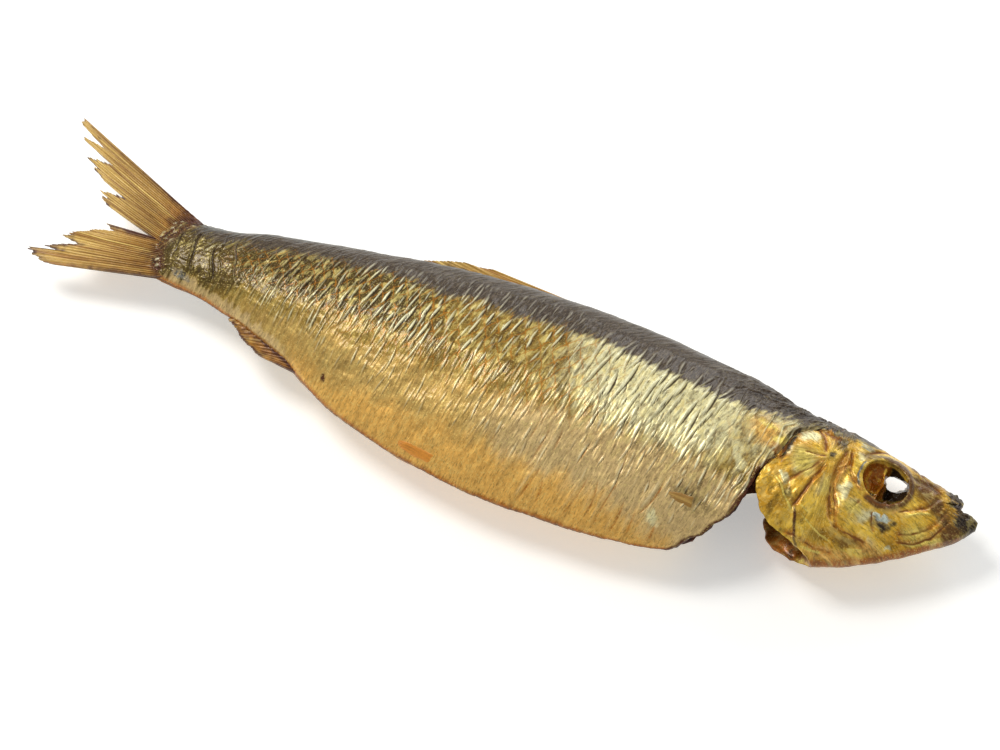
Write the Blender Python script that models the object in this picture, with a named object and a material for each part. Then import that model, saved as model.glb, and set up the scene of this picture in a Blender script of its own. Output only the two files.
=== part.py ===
"""A whole smoked herring lying on its left flank, head to +X, back to +Y, right flank up.

The skin is one lofted tube: rings run from the root of the tail to the throat cut, turn inward
through the belly cavity and the gill chamber that the cut opens, and go on to the snout.
Eye sockets, the hole between them and the mouth are cut out, and the fins are fused on.
All sizes below are in millimetres, measured in the fish's own plane of symmetry:
x forward from the middle of the body, y towards the back, z out of the right flank.
"""

import math

import bmesh
import bpy
import numpy as np

MM = 0.001
NAME = "smoked_herring"

# Resting height of the plane of symmetry, a little less than the half width,
# so that the left flank is pressed flat where it lies.
REST_HEIGHT = 13.4

TAIL_ROOT_X = -107.0
THROAT_X = 75.0
GILL_X = 80.0
SNOUT_X = 137.0

# Profiles along x, each as (x, value).
BACK = [(-107, 15.2), (-97, 15.8), (-88, 16.5), (-76, 19.0), (-62, 21.0), (-40, 24.1), (-14, 27.0),
        (14, 27.9), (38, 26.4), (56, 24.1), (70, 21.9), (84, 18.1), (98, 16.3), (106, 14.6),
        (116, 12.2), (124, 10.1), (131, 8.2), (134, 5.6), (137, 3.6)]
BELLY = [(-107, -4.2), (-98, -5.4), (-88, -6.7), (-76, -9.9), (-66, -13.6), (-57, -17.4),
         (-50, -21.9), (-34, -28.8), (-14, -34.4), (12, -37.3), (36, -37.1), (52, -35.6),
         (62, -33.5), (75, -30.5), (88, -27.2), (98, -25.0), (108, -21.0), (118, -15.2),
         (127, -8.6), (134, -2.3), (137, 1.4)]
HALF_WIDTH = [(-107, 1.8), (-98, 3.9), (-88, 5.2), (-70, 7.9), (-50, 10.8), (-28, 13.0), (2, 14.2),
              (32, 14.4), (56, 13.6), (80, 12.4), (96, 11.2), (106, 9.8), (116, 7.7), (126, 5.2),
              (132, 3.6), (137, 1.6)]
WIDEST_Y = [(-107, 5.0), (-76, 3.5), (-34, 0.0), (10, -2.5), (50, -2.5), (96, -2.0), (118, -0.5),
            (131, 2.2), (137, 2.5)]
BACK_ROUNDNESS = [(-107, 2.0), (-60, 2.2), (60, 2.3), (100, 2.3), (137, 2.0)]
BELLY_ROUNDNESS = [(-107, 1.9), (-70, 1.7), (-20, 1.5), (40, 1.42), (66, 1.4), (84, 1.75),
                   (110, 1.8), (137, 2.0)]
# Sideways sag of the plane of symmetry: the tail droops towards the table.
SAG = [(-145, -2.6), (-107, -1.2), (-60, -0.2), (-20, 0.0), (100, 0.0), (137, -0.6)]

# Where the body ends, as (y, x): the throat cut below, the edge of the gill cover above.
# The knife went in at a slant, so below the gills the edge also moves along x with z.
BODY_EDGE = [(-37.5, 54), (-35, 59), (-32.4, 62.6), (-30, 64), (-28, 67), (-25, 68),
             (-23, 69.8), (-17, 71), (-12, 71.2), (-9, 71.8), (-6, 74.7), (-3, 78.3),
             (0, 80.2), (6, 81.8), (8.6, 84.2), (12, 88.5), (18.5, 93)]
BODY_LEAN = 0.46
# Where the head begins, as (y, x): the free edge of the gill cover below.
HEAD_EDGE = [(-28, 104), (-25, 99.5), (-23, 95.3), (-21.6, 90), (-20, 85.6), (-16.5, 82.6),
             (-11, 80.4), (-5, 81), (0, 82.2), (6, 83.6), (8.6, 86.4), (12, 91), (18.5, 95.5)]
HEAD_LEAN = -0.18
LEAN_FROM_Y = -10.0
LEAN_TO_Y = 0.0
CUT_TOP_Y = 1.5
CUT_FULL_Y = -4.5
CUT_LEAN = -0.25
NECK = (77.5, 1.2, 0.45)
CAVITY_DEPTH = 9.0
GILL_DEPTH = 8.0
WALL_SHARE = 0.1
CREASE_DEPTH = 0.08
CREASE_END_Y = (7.0, 14.0)

AROUND = 40
BODY_RINGS = 30
THROAT_RINGS = 8
HEAD_RINGS = 26

# The eye sockets and the ragged hole that joins them, which leans towards the back.
EYE = (110.4, 2.1)
EYE_RADIUS = 6.6
SOCKET_FLOOR = 1.6
EYE_HOLE = (112.8, 6.6)
EYE_HOLE_SIZE = (3.2, 2.3)
EYE_HOLE_LEAN = (-0.13, 0.5)

MOUTH_CORNER = (127.5, 4.0)
MOUTH_TIP = (140.0, 6.6)
MOUTH_GAP = 1.5
LIP_X = 132.3

# Raised plates and hollows of the head, as (x, y, reach along x, reach along y, height).
HEAD_RELIEF = [
    (87.5, 3.5, 4.5, 4.5, 0.9),
    (88.0, -10.0, 5.5, 7.5, 0.9),
    (94.0, -5.0, 3.0, 9.0, 0.4),
    (99.0, -4.0, 1.6, 9.0, -0.8),
    (103.5, -9.0, 3.0, 3.0, 0.5),
    (107.0, -11.0, 2.5, 2.5, -0.7),
    (121.0, -4.5, 5.5, 2.2, 0.8),
    (110.0, -18.0, 9.0, 1.6, -0.6),
    (119.0, 7.0, 4.0, 1.0, -0.5),
]
EYE_RIM = (6.9, 0.9, 0.8)

# A fin is a fan of straight rays. base: first and last point of its root, turn: the angle of
# the first and last ray above -x in degrees, tips: (place across the fan, ray length).
TAIL_UPPER = dict(
    base=((-96.2, 15.4), (-102.2, 4.9)), turn=(25.0, 18.2), thick=(2.4, 0.7),
    tips=[(0.0, 53.2), (0.10, 52.4), (0.155, 40.9), (0.24, 49.2), (0.28, 47.3), (0.315, 34.1),
          (0.50, 42.0), (0.54, 36.4), (0.585, 37.1), (0.65, 31.9), (0.68, 23.8), (0.84, 30.4),
          (0.87, 27.1), (0.926, 28.4), (1.0, 24.5)],
)
TAIL_LOWER = dict(
    base=((-101.1, 7.1), (-95.1, -3.4)), turn=(-0.5, -11.4), thick=(2.4, 0.7),
    tips=[(0.0, 22.5), (0.11, 20.6), (0.18, 26.0), (0.28, 29.6), (0.34, 30.7), (0.38, 32.2),
          (0.49, 35.5), (0.57, 30.5), (0.70, 40.7), (0.745, 36.6), (0.765, 45.8), (0.825, 44.3),
          (0.88, 43.8), (0.98, 40.8), (1.0, 38.5)],
)
DORSAL = dict(
    base=((16.0, 27.4), (-21.0, 24.2)), turn=(5.2, 9.8), thick=(1.8, 0.8),
    tips=[(0.0, 29.2), (0.2, 26.8), (0.5, 20.8), (0.8, 14.0), (1.0, 9.5)],
)
ANAL = dict(
    base=((-49.0, -20.3), (-75.0, -8.8)), turn=(8.0, -24.0), thick=(1.8, 0.8),
    tips=[(0.0, 5.0), (0.08, 12.5), (0.3, 10.5), (0.5, 8.6), (0.8, 5.2), (1.0, 3.4)],
)
# Paired fins are pressed on the skin, and lift is how far their outer face stands out of it.
PELVIC = dict(
    base=((-2.0, -32.2), (-4.0, -34.6)), turn=(10.0, 9.0), thick=(2.4, 1.8), lift=0.7,
    tips=[(0.0, 15.0), (0.35, 19.5), (0.7, 18.5), (1.0, 14.0)],
)
PECTORAL = dict(
    base=((66.5, -20.0), (66.0, -23.6)), turn=(-3.0, 3.0), thick=(2.4, 1.8), lift=0.7,
    tips=[(0.0, 9.0), (0.35, 12.5), (0.75, 11.0), (1.0, 7.0)],
)
FIN_SPREAD = 0.6
RAYS_ACROSS = 24
ROOT_SINK = 1.2
ROOT_SHARE = 0.35
STEPS_UPRIGHT = 4
STEPS_ON_FLANK = 8

SKIN = ((0.60, 0.43, 0.17, 1.0), 0.36, 0.55)
FIN = ((0.50, 0.28, 0.08, 1.0), 0.5, 0.1)


def through(knots, x):
    """Height at x of a smooth curve through the knots that never overshoots them."""
    kx, ky = np.array(knots, float).T
    x = np.clip(x, kx[0], kx[-1])
    step = np.diff(kx)
    slope = np.diff(ky) / step
    tangent = np.concatenate([slope[:1], np.zeros(len(kx) - 2), slope[-1:]])
    same = slope[:-1] * slope[1:] > 0
    both = np.where(same, slope[:-1] + slope[1:], 1.0)
    tangent[1:-1] = np.where(same, 2 * slope[:-1] * slope[1:] / both, 0.0)
    i = np.clip(np.searchsorted(kx, x) - 1, 0, len(kx) - 2)
    t = (x - kx[i]) / step[i]
    rise = t * t * (3 - 2 * t)
    return (ky[i] * (1 - rise) + ky[i + 1] * rise
            + step[i] * t * (1 - t) * (tangent[i] * (1 - t) - tangent[i + 1] * t))


def ease(low, high, x):
    """0 below low, 1 above high, and an S-shaped rise between them."""
    t = np.clip((x - low) / (high - low), 0, 1)
    return t * t * (3 - 2 * t)


def head_relief(x, y):
    """Outward height of the gill cover, cheek, jaw and eye rim on one side of the head."""
    height = np.zeros_like(x)
    for cx, cy, rx, ry, rise in HEAD_RELIEF:
        height += rise * np.exp(-((x - cx) / rx) ** 2 - ((y - cy) / ry) ** 2)
    radius, width, rise = EYE_RIM
    away = np.hypot(x - EYE[0], y - EYE[1])
    return height + rise * np.exp(-((away - radius) / width) ** 2)


def section(x, angle):
    """y and z of the skin at x, going round from the back (0) over the right flank."""
    middle = through(WIDEST_Y, x)
    up = np.cos(angle) >= 0
    reach = np.where(up, through(BACK, x), through(BELLY, x)) - middle
    power = 2 / np.where(up, through(BACK_ROUNDNESS, x), through(BELLY_ROUNDNESS, x))
    y = middle + reach * np.abs(np.cos(angle)) ** power
    out = np.abs(np.sin(angle)) ** power
    z = (through(HALF_WIDTH, x) + head_relief(x, y)) * out
    return y, np.sign(np.sin(angle)) * z


def half_thickness(x, y):
    """Distance of the bare flank from the plane of symmetry at x and y."""
    middle = through(WIDEST_Y, x)
    up = y >= middle
    edge = np.where(up, through(BACK, x), through(BELLY, x))
    power = np.where(up, through(BACK_ROUNDNESS, x), through(BELLY_ROUNDNESS, x))
    share = np.clip((y - middle) / (edge - middle), 0, 0.995)
    return through(HALF_WIDTH, x) * (1 - share ** power) ** (1 / power)


def ring(x_flat, edge, lean, edge_x, follow, angle):
    """One ring of skin points, leaning to follow a slanted edge, which is (y, x) knots."""
    x = np.full_like(angle, x_flat)
    for _ in range(20):
        y, z = section(x, angle)
        slant = lean * z * (1 - ease(LEAN_FROM_Y, LEAN_TO_Y, y))
        x = x_flat + follow * (through(edge, y) + slant - edge_x)
    return np.stack([x, y, z], -1)


def throat_rings(body_end, head_start):
    """Rings from the body's front edge, through cavity and gill chamber, to the gill cover.

    Above the cut they only make the crease behind the head."""
    weight = 1 - ease(CUT_FULL_Y, CUT_TOP_Y, body_end[:, 1] - CUT_LEAN * body_end[:, 2])
    neck = body_end.copy()
    neck[:, 0] = NECK[0]
    neck[:, 1] = NECK[1]
    neck[:, 2] *= NECK[2]
    back, front = np.array([-CAVITY_DEPTH, 0, 0]), np.array([GILL_DEPTH, 0, 0])
    below = [
        body_end + WALL_SHARE * (neck - body_end),
        body_end + 0.5 * (neck - body_end) + back,
        body_end + 0.85 * (neck - body_end) + 0.5 * back,
        neck,
        head_start + 0.85 * (neck - head_start) + 0.5 * front,
        head_start + 0.5 * (neck - head_start) + front,
        head_start + WALL_SHARE * (neck - head_start),
    ]
    crease = CREASE_DEPTH * (1 - ease(*CREASE_END_Y, body_end[:, 1:2]))
    rings = []
    for k, low in enumerate(below, start=1):
        f = k / THROAT_RINGS
        high = body_end * (1 - f) + head_start * f
        high[:, 1:] *= 1 - crease * math.sin(math.pi * f)
        rings.append(high * (1 - weight[:, None]) + low * weight[:, None])
    return rings


def skin_rings():
    """All rings of the tube from tail root to snout."""
    angle = np.linspace(0, 2 * np.pi, AROUND, endpoint=False)
    rings = []
    for u in np.linspace(0, 1, BODY_RINGS):
        x_flat = TAIL_ROOT_X + u * (THROAT_X - TAIL_ROOT_X)
        rings.append(ring(x_flat, BODY_EDGE, BODY_LEAN, THROAT_X, ease(0.68, 1, u), angle))
    head = []
    for v in np.linspace(0, 1, HEAD_RINGS):
        x_flat = GILL_X + (SNOUT_X - GILL_X) * v ** 1.05
        follow = 1 - ease(0, 0.62, v)
        head.append(ring(x_flat, HEAD_EDGE, HEAD_LEAN, GILL_X, follow, angle))
    return rings + throat_rings(rings[-1], head[0]) + head


def place(points):
    """Fish millimetres to metres above the table, with the sag and the pressed flank."""
    points = np.array(points, float)
    points[..., 2] += REST_HEIGHT + through(SAG, points[..., 0])
    points[..., 2] = np.maximum(points[..., 2], 0)
    return points * MM


def material(name, look):
    """A plain Principled material from (colour, roughness, metallic)."""
    colour, roughness, metallic = look
    made = bpy.data.materials.new(name)
    made.use_nodes = True
    shader = made.node_tree.nodes["Principled BSDF"]
    shader.inputs["Base Color"].default_value = colour
    shader.inputs["Roughness"].default_value = roughness
    shader.inputs["Metallic"].default_value = metallic
    return made


def new_object(name, points, faces, collection, look=None):
    """A mesh object from points in metres."""
    mesh = bpy.data.meshes.new(name)
    mesh.from_pydata(points.tolist(), [], faces)
    mesh.update()
    if look:
        mesh.materials.append(look)
    made = bpy.data.objects.new(name, mesh)
    collection.objects.link(made)
    return made


def make_skin(collection, look):
    """The closed tube of skin, capped at the tail root and at the snout."""
    rings = skin_rings()
    points = place(np.concatenate(rings))
    count = len(rings)
    faces = []
    for i in range(count - 1):
        for j in range(AROUND):
            k = (j + 1) % AROUND
            faces.append((i * AROUND + j, (i + 1) * AROUND + j,
                          (i + 1) * AROUND + k, i * AROUND + k))
    faces.append(tuple(range(AROUND)))
    faces.append(tuple(range((count - 1) * AROUND, count * AROUND))[::-1])
    return new_object(NAME, points, faces, collection, look)


def close_and_turn_out(obj):
    """Merges doubles, splits faces into triangles and points them outward."""
    work = bmesh.new()
    work.from_mesh(obj.data)
    bmesh.ops.remove_doubles(work, verts=work.verts, dist=0.01 * MM)
    bmesh.ops.triangulate(work, faces=work.faces)
    bmesh.ops.recalc_face_normals(work, faces=work.faces)
    work.to_mesh(obj.data)
    work.free()


def fan_points(fin, across, along):
    """Fish x and y of a fan: across from the first to the last ray, along from root to tip."""
    (ax, ay), (bx, by) = fin["base"]
    turn = np.radians(fin["turn"][0] + (fin["turn"][1] - fin["turn"][0]) * across)
    knots = np.array(fin["tips"], float)
    length = np.interp(across, knots[:, 0], knots[:, 1]) * along
    x = ax + (bx - ax) * across - length * np.cos(turn)
    y = ay + (by - ay) * across + length * np.sin(turn)
    return x, y


def fin_places(fin, count):
    """Places across the fan: an even spread that also hits every tip and every split."""
    knots = [spot for spot, _ in fin["tips"]]
    even = [q for q in np.linspace(0, 1, count)
            if min(abs(q - k) for k in knots) > FIN_SPREAD / count]
    return np.array(sorted(knots + even))


def make_fin(name, fin, collection, look, side=0):
    """A fin as a thin closed plate. side 0 stands in the plane of symmetry, and 1 or -1
    lies on the right or left flank."""
    places = fin_places(fin, RAYS_ACROSS if side == 0 else RAYS_ACROSS // 2)
    steps = STEPS_ON_FLANK if side else STEPS_UPRIGHT
    q, t = np.meshgrid(places, np.linspace(0, 1, steps), indexing="ij")
    x, y = fan_points(fin, q, t)
    half = 0.5 * (fin["thick"][0] + (fin["thick"][1] - fin["thick"][0]) * t)
    z = np.zeros_like(x)
    if side:
        sink = ROOT_SINK * (1 - ease(0, ROOT_SHARE, t))
        z = side * (half_thickness(x, y) + fin["lift"] - sink - half)
    front = np.stack([x, y, z + half], -1).reshape(-1, 3)
    back = np.stack([x, y, z - half], -1).reshape(-1, 3)
    rows, cols = q.shape
    faces = []
    for i in range(rows - 1):
        for j in range(cols - 1):
            a, b, c, d = (i * cols + j, (i + 1) * cols + j, (i + 1) * cols + j + 1,
                          i * cols + j + 1)
            faces.append((a, b, c, d))
            faces.append(tuple(n + rows * cols for n in (d, c, b, a)))
    rim = ([(i, 0) for i in range(rows)] + [(rows - 1, j) for j in range(1, cols)]
           + [(i, cols - 1) for i in range(rows - 2, -1, -1)]
           + [(0, j) for j in range(cols - 2, 0, -1)])
    for (i, j), (m, n) in zip(rim, rim[1:] + rim[:1]):
        a, b = i * cols + j, m * cols + n
        faces.append((a, a + rows * cols, b + rows * cols, b))
    made = new_object(name, place(np.concatenate([front, back])), faces, collection, look)
    close_and_turn_out(made)
    return made


def prism(name, outline, low, high, lean, collection):
    """A cutter: an outline of (x, y) carried from z low to z high, leaning as it goes."""
    outline = np.array(outline, float)
    points = []
    for z in (low, high):
        shifted = outline - z * np.array(lean)
        points.append(np.column_stack([shifted, np.full(len(outline), z)]))
    count = len(outline)
    faces = [tuple(range(count))[::-1], tuple(range(count, 2 * count))]
    faces += [(i, (i + 1) % count, (i + 1) % count + count, i + count) for i in range(count)]
    points = np.concatenate(points) + [0, 0, REST_HEIGHT]
    made = new_object(name, points * MM, faces, collection)
    close_and_turn_out(made)
    made.hide_render = True
    made.display_type = "WIRE"
    return made


def make_cutters(collection):
    """The two eye sockets, the hole between them and the mouth."""
    turn = np.linspace(0, 2 * np.pi, 20, endpoint=False)
    for side, name in ((1, "eye_socket_right"), (-1, "eye_socket_left")):
        bpy.ops.mesh.primitive_uv_sphere_add(segments=20, ring_count=12, radius=1.0)
        ball = bpy.context.object
        ball.name = name
        depth = through(HALF_WIDTH, np.array(EYE[0])) - SOCKET_FLOOR
        for point in ball.data.vertices:
            point.co.x = (EYE[0] + EYE_RADIUS * point.co.x) * MM
            point.co.y = (EYE[1] + EYE_RADIUS * point.co.y) * MM
            point.co.z = (REST_HEIGHT + side * (SOCKET_FLOOR + depth)
                          + depth * 1.15 * point.co.z) * MM
        for owner in list(ball.users_collection):
            owner.objects.unlink(ball)
        collection.objects.link(ball)
        ball.hide_render = True
        ball.display_type = "WIRE"
    ragged = 1 + 0.12 * np.sin(3 * turn + 0.6)
    hole = np.column_stack([EYE_HOLE[0] + EYE_HOLE_SIZE[0] * ragged * np.cos(turn),
                            EYE_HOLE[1] + EYE_HOLE_SIZE[1] * ragged * np.sin(turn)])
    prism("eye_hole", hole, -16, 6, EYE_HOLE_LEAN, collection)
    (cx, cy), (tx, ty) = MOUTH_CORNER, MOUTH_TIP
    mouth = [(cx, cy), (LIP_X, 4.6), (tx, 4.8), (tx, ty + 6), (LIP_X, 12.0),
             (LIP_X - 0.4, 4.6 + MOUTH_GAP)]
    prism("mouth", mouth, -12, 12, (0, 0), collection)


def combine(obj, collection, operation, solver):
    """Applies one Boolean of obj with all objects of a collection."""
    step = obj.modifiers.new(operation.lower(), "BOOLEAN")
    step.operation = operation
    step.operand_type = "COLLECTION"
    step.collection = collection
    step.solver = solver
    bpy.context.view_layer.update()
    graph = bpy.context.evaluated_depsgraph_get()
    mesh = bpy.data.meshes.new_from_object(obj.evaluated_get(graph))
    obj.modifiers.clear()
    obj.data = mesh
    for other in list(collection.objects):
        bpy.data.objects.remove(other)


def centre_on_table(obj):
    """Moves the mesh so that the box round it stands on z 0 with its middle at x 0, y 0."""
    points = np.array([point.co for point in obj.data.vertices])
    middle = (points.min(0) + points.max(0)) / 2
    for point in obj.data.vertices:
        point.co.x -= middle[0]
        point.co.y -= middle[1]


def main():
    for old in list(bpy.data.objects):
        bpy.data.objects.remove(old)
    scene = bpy.context.scene.collection
    fish_parts = bpy.data.collections.new("smoked_fish")
    cutters = bpy.data.collections.new("cutters")
    fins = bpy.data.collections.new("fins")
    for made in (fish_parts, cutters, fins):
        scene.children.link(made)
    skin_look = material("smoked_skin", SKIN)
    fin_look = material("smoked_fin", FIN)
    fish = make_skin(fish_parts, skin_look)
    close_and_turn_out(fish)
    make_cutters(cutters)
    combine(fish, cutters, "DIFFERENCE", "EXACT")
    make_fin("tail_upper", TAIL_UPPER, fins, fin_look)
    make_fin("tail_lower", TAIL_LOWER, fins, fin_look)
    make_fin("dorsal_fin", DORSAL, fins, fin_look)
    make_fin("anal_fin", ANAL, fins, fin_look)
    for side, word in ((1, "right"), (-1, "left")):
        make_fin("pelvic_fin_" + word, PELVIC, fins, fin_look, side)
        make_fin("pectoral_fin_" + word, PECTORAL, fins, fin_look, side)
    combine(fish, fins, "UNION", "EXACT")
    close_and_turn_out(fish)
    centre_on_table(fish)
    fish.data.shade_smooth()


main()
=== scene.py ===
"""A whole smoked herring on a pale table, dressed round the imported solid.

Lengths in the tables are millimetres in the fish's own plane of symmetry: x forward from the
middle of the body, y towards the back, z out of the right flank, which lies uppermost.
place() turns them into metres above the table.
"""

import itertools
import math

import bpy
import numpy as np
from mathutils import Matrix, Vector


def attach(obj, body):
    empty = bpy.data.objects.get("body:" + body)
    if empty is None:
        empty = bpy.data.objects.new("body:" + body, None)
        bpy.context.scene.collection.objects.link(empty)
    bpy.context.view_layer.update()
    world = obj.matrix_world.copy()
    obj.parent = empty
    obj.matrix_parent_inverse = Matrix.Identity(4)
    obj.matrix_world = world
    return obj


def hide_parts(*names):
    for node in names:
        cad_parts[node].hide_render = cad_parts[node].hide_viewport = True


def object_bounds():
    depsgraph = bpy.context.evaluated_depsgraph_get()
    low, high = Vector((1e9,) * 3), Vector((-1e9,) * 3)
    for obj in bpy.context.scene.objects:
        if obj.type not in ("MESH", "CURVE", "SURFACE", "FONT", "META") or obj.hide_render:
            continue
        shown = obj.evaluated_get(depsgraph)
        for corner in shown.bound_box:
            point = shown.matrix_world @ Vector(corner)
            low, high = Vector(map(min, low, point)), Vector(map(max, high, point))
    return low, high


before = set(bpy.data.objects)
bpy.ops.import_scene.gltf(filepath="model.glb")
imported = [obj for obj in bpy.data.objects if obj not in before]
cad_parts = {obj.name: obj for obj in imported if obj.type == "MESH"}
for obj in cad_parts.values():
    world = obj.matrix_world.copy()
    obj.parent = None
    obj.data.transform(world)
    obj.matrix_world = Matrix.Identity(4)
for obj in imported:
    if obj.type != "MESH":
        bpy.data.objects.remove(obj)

bl_info = {
    "name": "Smoked herring",
    "version": (1, 0, 0),
    "blender": (4, 5, 0),
    "location": "View3D > Sidebar > Herring",
    "description": "Builds a whole smoked herring, head on, and the table it lies on",
    "category": "Add Mesh",
}

CAD_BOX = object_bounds()
MM = 0.001
NODE = "smoked_herring"

# The tube of skin: where it starts, opens at the throat, and ends.
REST_HEIGHT = 13.4
TAIL_ROOT_X = -107.0
THROAT_X = 75.0
GILL_X = 80.0
SNOUT_X = 137.0
BELLY_LOW_Y = -37.3

# Profiles along x, each as (x, value).
BACK = [(-107, 15.2), (-97, 15.8), (-88, 16.5), (-76, 19.0), (-62, 21.0), (-40, 24.1), (-14, 27.0),
        (14, 27.9), (38, 26.4), (56, 24.1), (70, 21.9), (84, 18.1), (98, 16.3), (106, 14.6),
        (116, 12.2), (124, 10.1), (131, 8.2), (134, 5.6), (137, 3.6)]
BELLY = [(-107, -4.2), (-98, -5.4), (-88, -6.7), (-76, -9.9), (-66, -13.6), (-57, -17.4),
         (-50, -21.9), (-34, -28.8), (-14, -34.4), (12, BELLY_LOW_Y), (36, -37.1), (52, -35.6),
         (62, -33.5), (75, -30.5), (88, -27.2), (98, -25.0), (108, -21.0), (118, -15.2),
         (127, -8.6), (134, -2.3), (137, 1.4)]
HALF_WIDTH = [(-107, 1.8), (-98, 3.9), (-88, 5.2), (-70, 7.9), (-50, 10.8), (-28, 13.0), (2, 14.2),
              (32, 14.4), (56, 13.6), (80, 12.4), (96, 11.2), (106, 9.8), (116, 7.7), (126, 5.2),
              (132, 3.6), (137, 1.6)]
WIDEST_Y = [(-107, 5.0), (-76, 3.5), (-34, 0.0), (10, -2.5), (50, -2.5), (96, -2.0), (118, -0.5),
            (131, 2.2), (137, 2.5)]
BACK_ROUNDNESS = [(-107, 2.0), (-60, 2.2), (60, 2.3), (100, 2.3), (137, 2.0)]
BELLY_ROUNDNESS = [(-107, 1.9), (-70, 1.7), (-20, 1.5), (40, 1.42), (66, 1.4), (84, 1.75),
                   (110, 1.8), (137, 2.0)]
SAG = [(-145, -2.6), (-107, -1.2), (-60, -0.2), (-20, 0.0), (100, 0.0), (137, -0.6)]

# Where the body ends and where the head begins, as (y, x), and how the slanted cut leans.
BODY_EDGE = [(-37.5, 54), (-35, 59), (-32.4, 62.6), (-30, 64), (-28, 67), (-25, 68),
             (-23, 69.8), (-17, 71), (-12, 71.2), (-9, 71.8), (-6, 74.7), (-3, 78.3),
             (0, 80.2), (6, 81.8), (8.6, 84.2), (12, 88.5), (18.5, 93)]
BODY_LEAN = 0.46
HEAD_EDGE = [(-28, 104), (-25, 99.5), (-23, 95.3), (-21.6, 90), (-20, 85.6), (-16.5, 82.6),
             (-11, 80.4), (-5, 81), (0, 82.2), (6, 83.6), (8.6, 86.4), (12, 91), (18.5, 95.5)]
HEAD_LEAN = -0.18
LEAN_RANGE = (-10.0, 0.0)
CUT_RANGE = (-4.5, 1.5)
CUT_LEAN = -0.25
NECK = (77.5, 1.2, 0.45)
CAVITY_DEPTH = 9.0
GILL_DEPTH = 8.0
WALL_SHARE = 0.1
CREASE_DEPTH = 0.08
CREASE_END_Y = (7.0, 14.0)

# Fineness of the grids.
RIGHT_POINTS = 168
LEFT_POINTS = 68
BODY_RINGS = 830
THROAT_RINGS = 32
HEAD_RINGS = 250

# The eye sockets, the ragged hole that joins them, and the mouth.
EYE = (110.4, 2.1)
EYE_RADIUS = 6.6
SOCKET_FLOOR = 1.6
EYE_HOLE = (112.8, 6.6)
EYE_HOLE_SIZE = (3.2, 2.3)
EYE_HOLE_LEAN = (-0.13, 0.5)
EYE_RIM = (6.9, 0.9, 0.8)
MOUTH = [(127.0, 3.8), (132.3, 4.1), (140.0, 4.4), (140.0, 12.6), (132.3, 12.0), (131.7, 6.3)]

# Raised plates and hollows of the head, as (x, y, reach along x, reach along y, height), and
# the point from which the brushed lines of the gill cover fan out.
FAN_HUB = (94.0, 3.3)
HEAD_RELIEF = [
    (87.5, 3.5, 4.5, 4.5, 0.9), (88.0, -10.0, 5.5, 7.5, 0.9), (94.0, -5.0, 3.0, 9.0, 0.4),
    (99.0, -4.0, 1.6, 9.0, -0.8), (103.5, -9.0, 3.0, 3.0, 0.5), (107.0, -11.0, 2.5, 2.5, -0.7),
    (113.6, -8.9, 2.4, 1.4, -0.8), (121.0, -4.5, 5.5, 2.2, 0.8), (110.0, -18.0, 9.0, 1.6, -0.6),
    (119.0, 7.0, 4.0, 1.0, -0.5),
]

# Creases of the head, each as (points, half width, depth), and narrow ridges, the same way
# with a height and the colour they carry.
CREASES = [
    ([(81.2, -4.5), (82.0, -1.0), (82.3, 2.9), (83.1, 5.9), (84.8, 8.6), (88.0, 10.6), (92.5, 10.2),
      (97.0, 8.6)], 0.8, 0.7),
    ([(86.0, 9.6), (88.7, 9.9), (90.9, 8.3), (92.2, 5.6), (92.9, 3.4)], 0.45, 0.45),
    ([(98.0, 8.1), (97.7, 4.2), (97.0, -0.4), (96.9, -4.4), (97.5, -7.9), (99.0, -11.6),
      (100.4, -14.5)], 0.5, 0.7),
    ([(99.3, 7.3), (99.9, 3.5), (98.1, 0.6), (97.6, -2.9), (98.4, -6.8), (99.7, -9.5),
      (101.2, -14.1), (102.0, -14.8)], 0.4, 0.5),
    ([(100.4, -14.5), (102.1, -15.1), (105.0, -15.2), (107.6, -15.4), (110.9, -15.3)], 0.45, 0.5),
    ([(99.0, 8.1), (100.0, 4.4), (100.8, 0.6), (103.1, -1.6), (105.6, -3.6)], 0.4, 0.5),
    ([(105.6, -3.6), (107.8, -4.9), (111.4, -4.8), (114.4, -3.0), (116.5, -0.4)], 0.5, 0.5),
    ([(93.2, 2.5), (90.2, 1.7), (87.0, 1.5)], 0.3, 0.3),
    ([(93.4, 1.8), (90.4, -2.3), (87.0, -6.8), (85.7, -9.5)], 0.35, 0.3),
    ([(93.6, 1.1), (92.8, -3.0), (91.0, -8.2), (89.9, -12.3), (89.3, -14.9)], 0.45, 0.55),
    ([(93.4, -0.3), (92.1, -6.3), (90.3, -11.4), (89.0, -14.7)], 0.3, 0.3),
    ([(115.9, 12.9), (119.6, 9.6), (123.0, 7.3), (126.3, 5.8)], 0.4, 0.5),
    ([(115.9, -5.2), (119.7, -2.3), (123.4, 0.7), (125.8, 5.0)], 0.4, 0.35),
    ([(116.9, -10.0), (120.1, -8.8), (124.0, -6.3), (126.7, -2.6), (128.5, 2.1)], 0.4, 0.5),
    ([(117.3, -12.0), (122.5, -9.9), (126.1, -6.9), (128.4, -3.1), (130.1, 0.6)], 0.4, 0.5),
    ([(105.6, -5.9), (104.4, -8.6), (104.2, -11.2)], 0.3, 0.35),
    ([(109.6, -7.0), (110.4, -10.2), (111.9, -12.3)], 0.3, 0.35),
    ([(93.4, 11.3), (95.4, 15.3), (97.5, 17.8)], 0.4, 0.4),
    ([(84.4, 15.3), (89.7, 14.7), (94.3, 15.6), (99.9, 13.8)], 0.4, 0.4),
    ([(103.4, 8.7), (106.2, 11.3), (109.3, 13.0)], 0.4, 0.4),
    ([(88.0, -21.0), (93.0, -20.8), (98.5, -21.6), (104.0, -20.4)], 0.4, 0.4),
]
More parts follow.
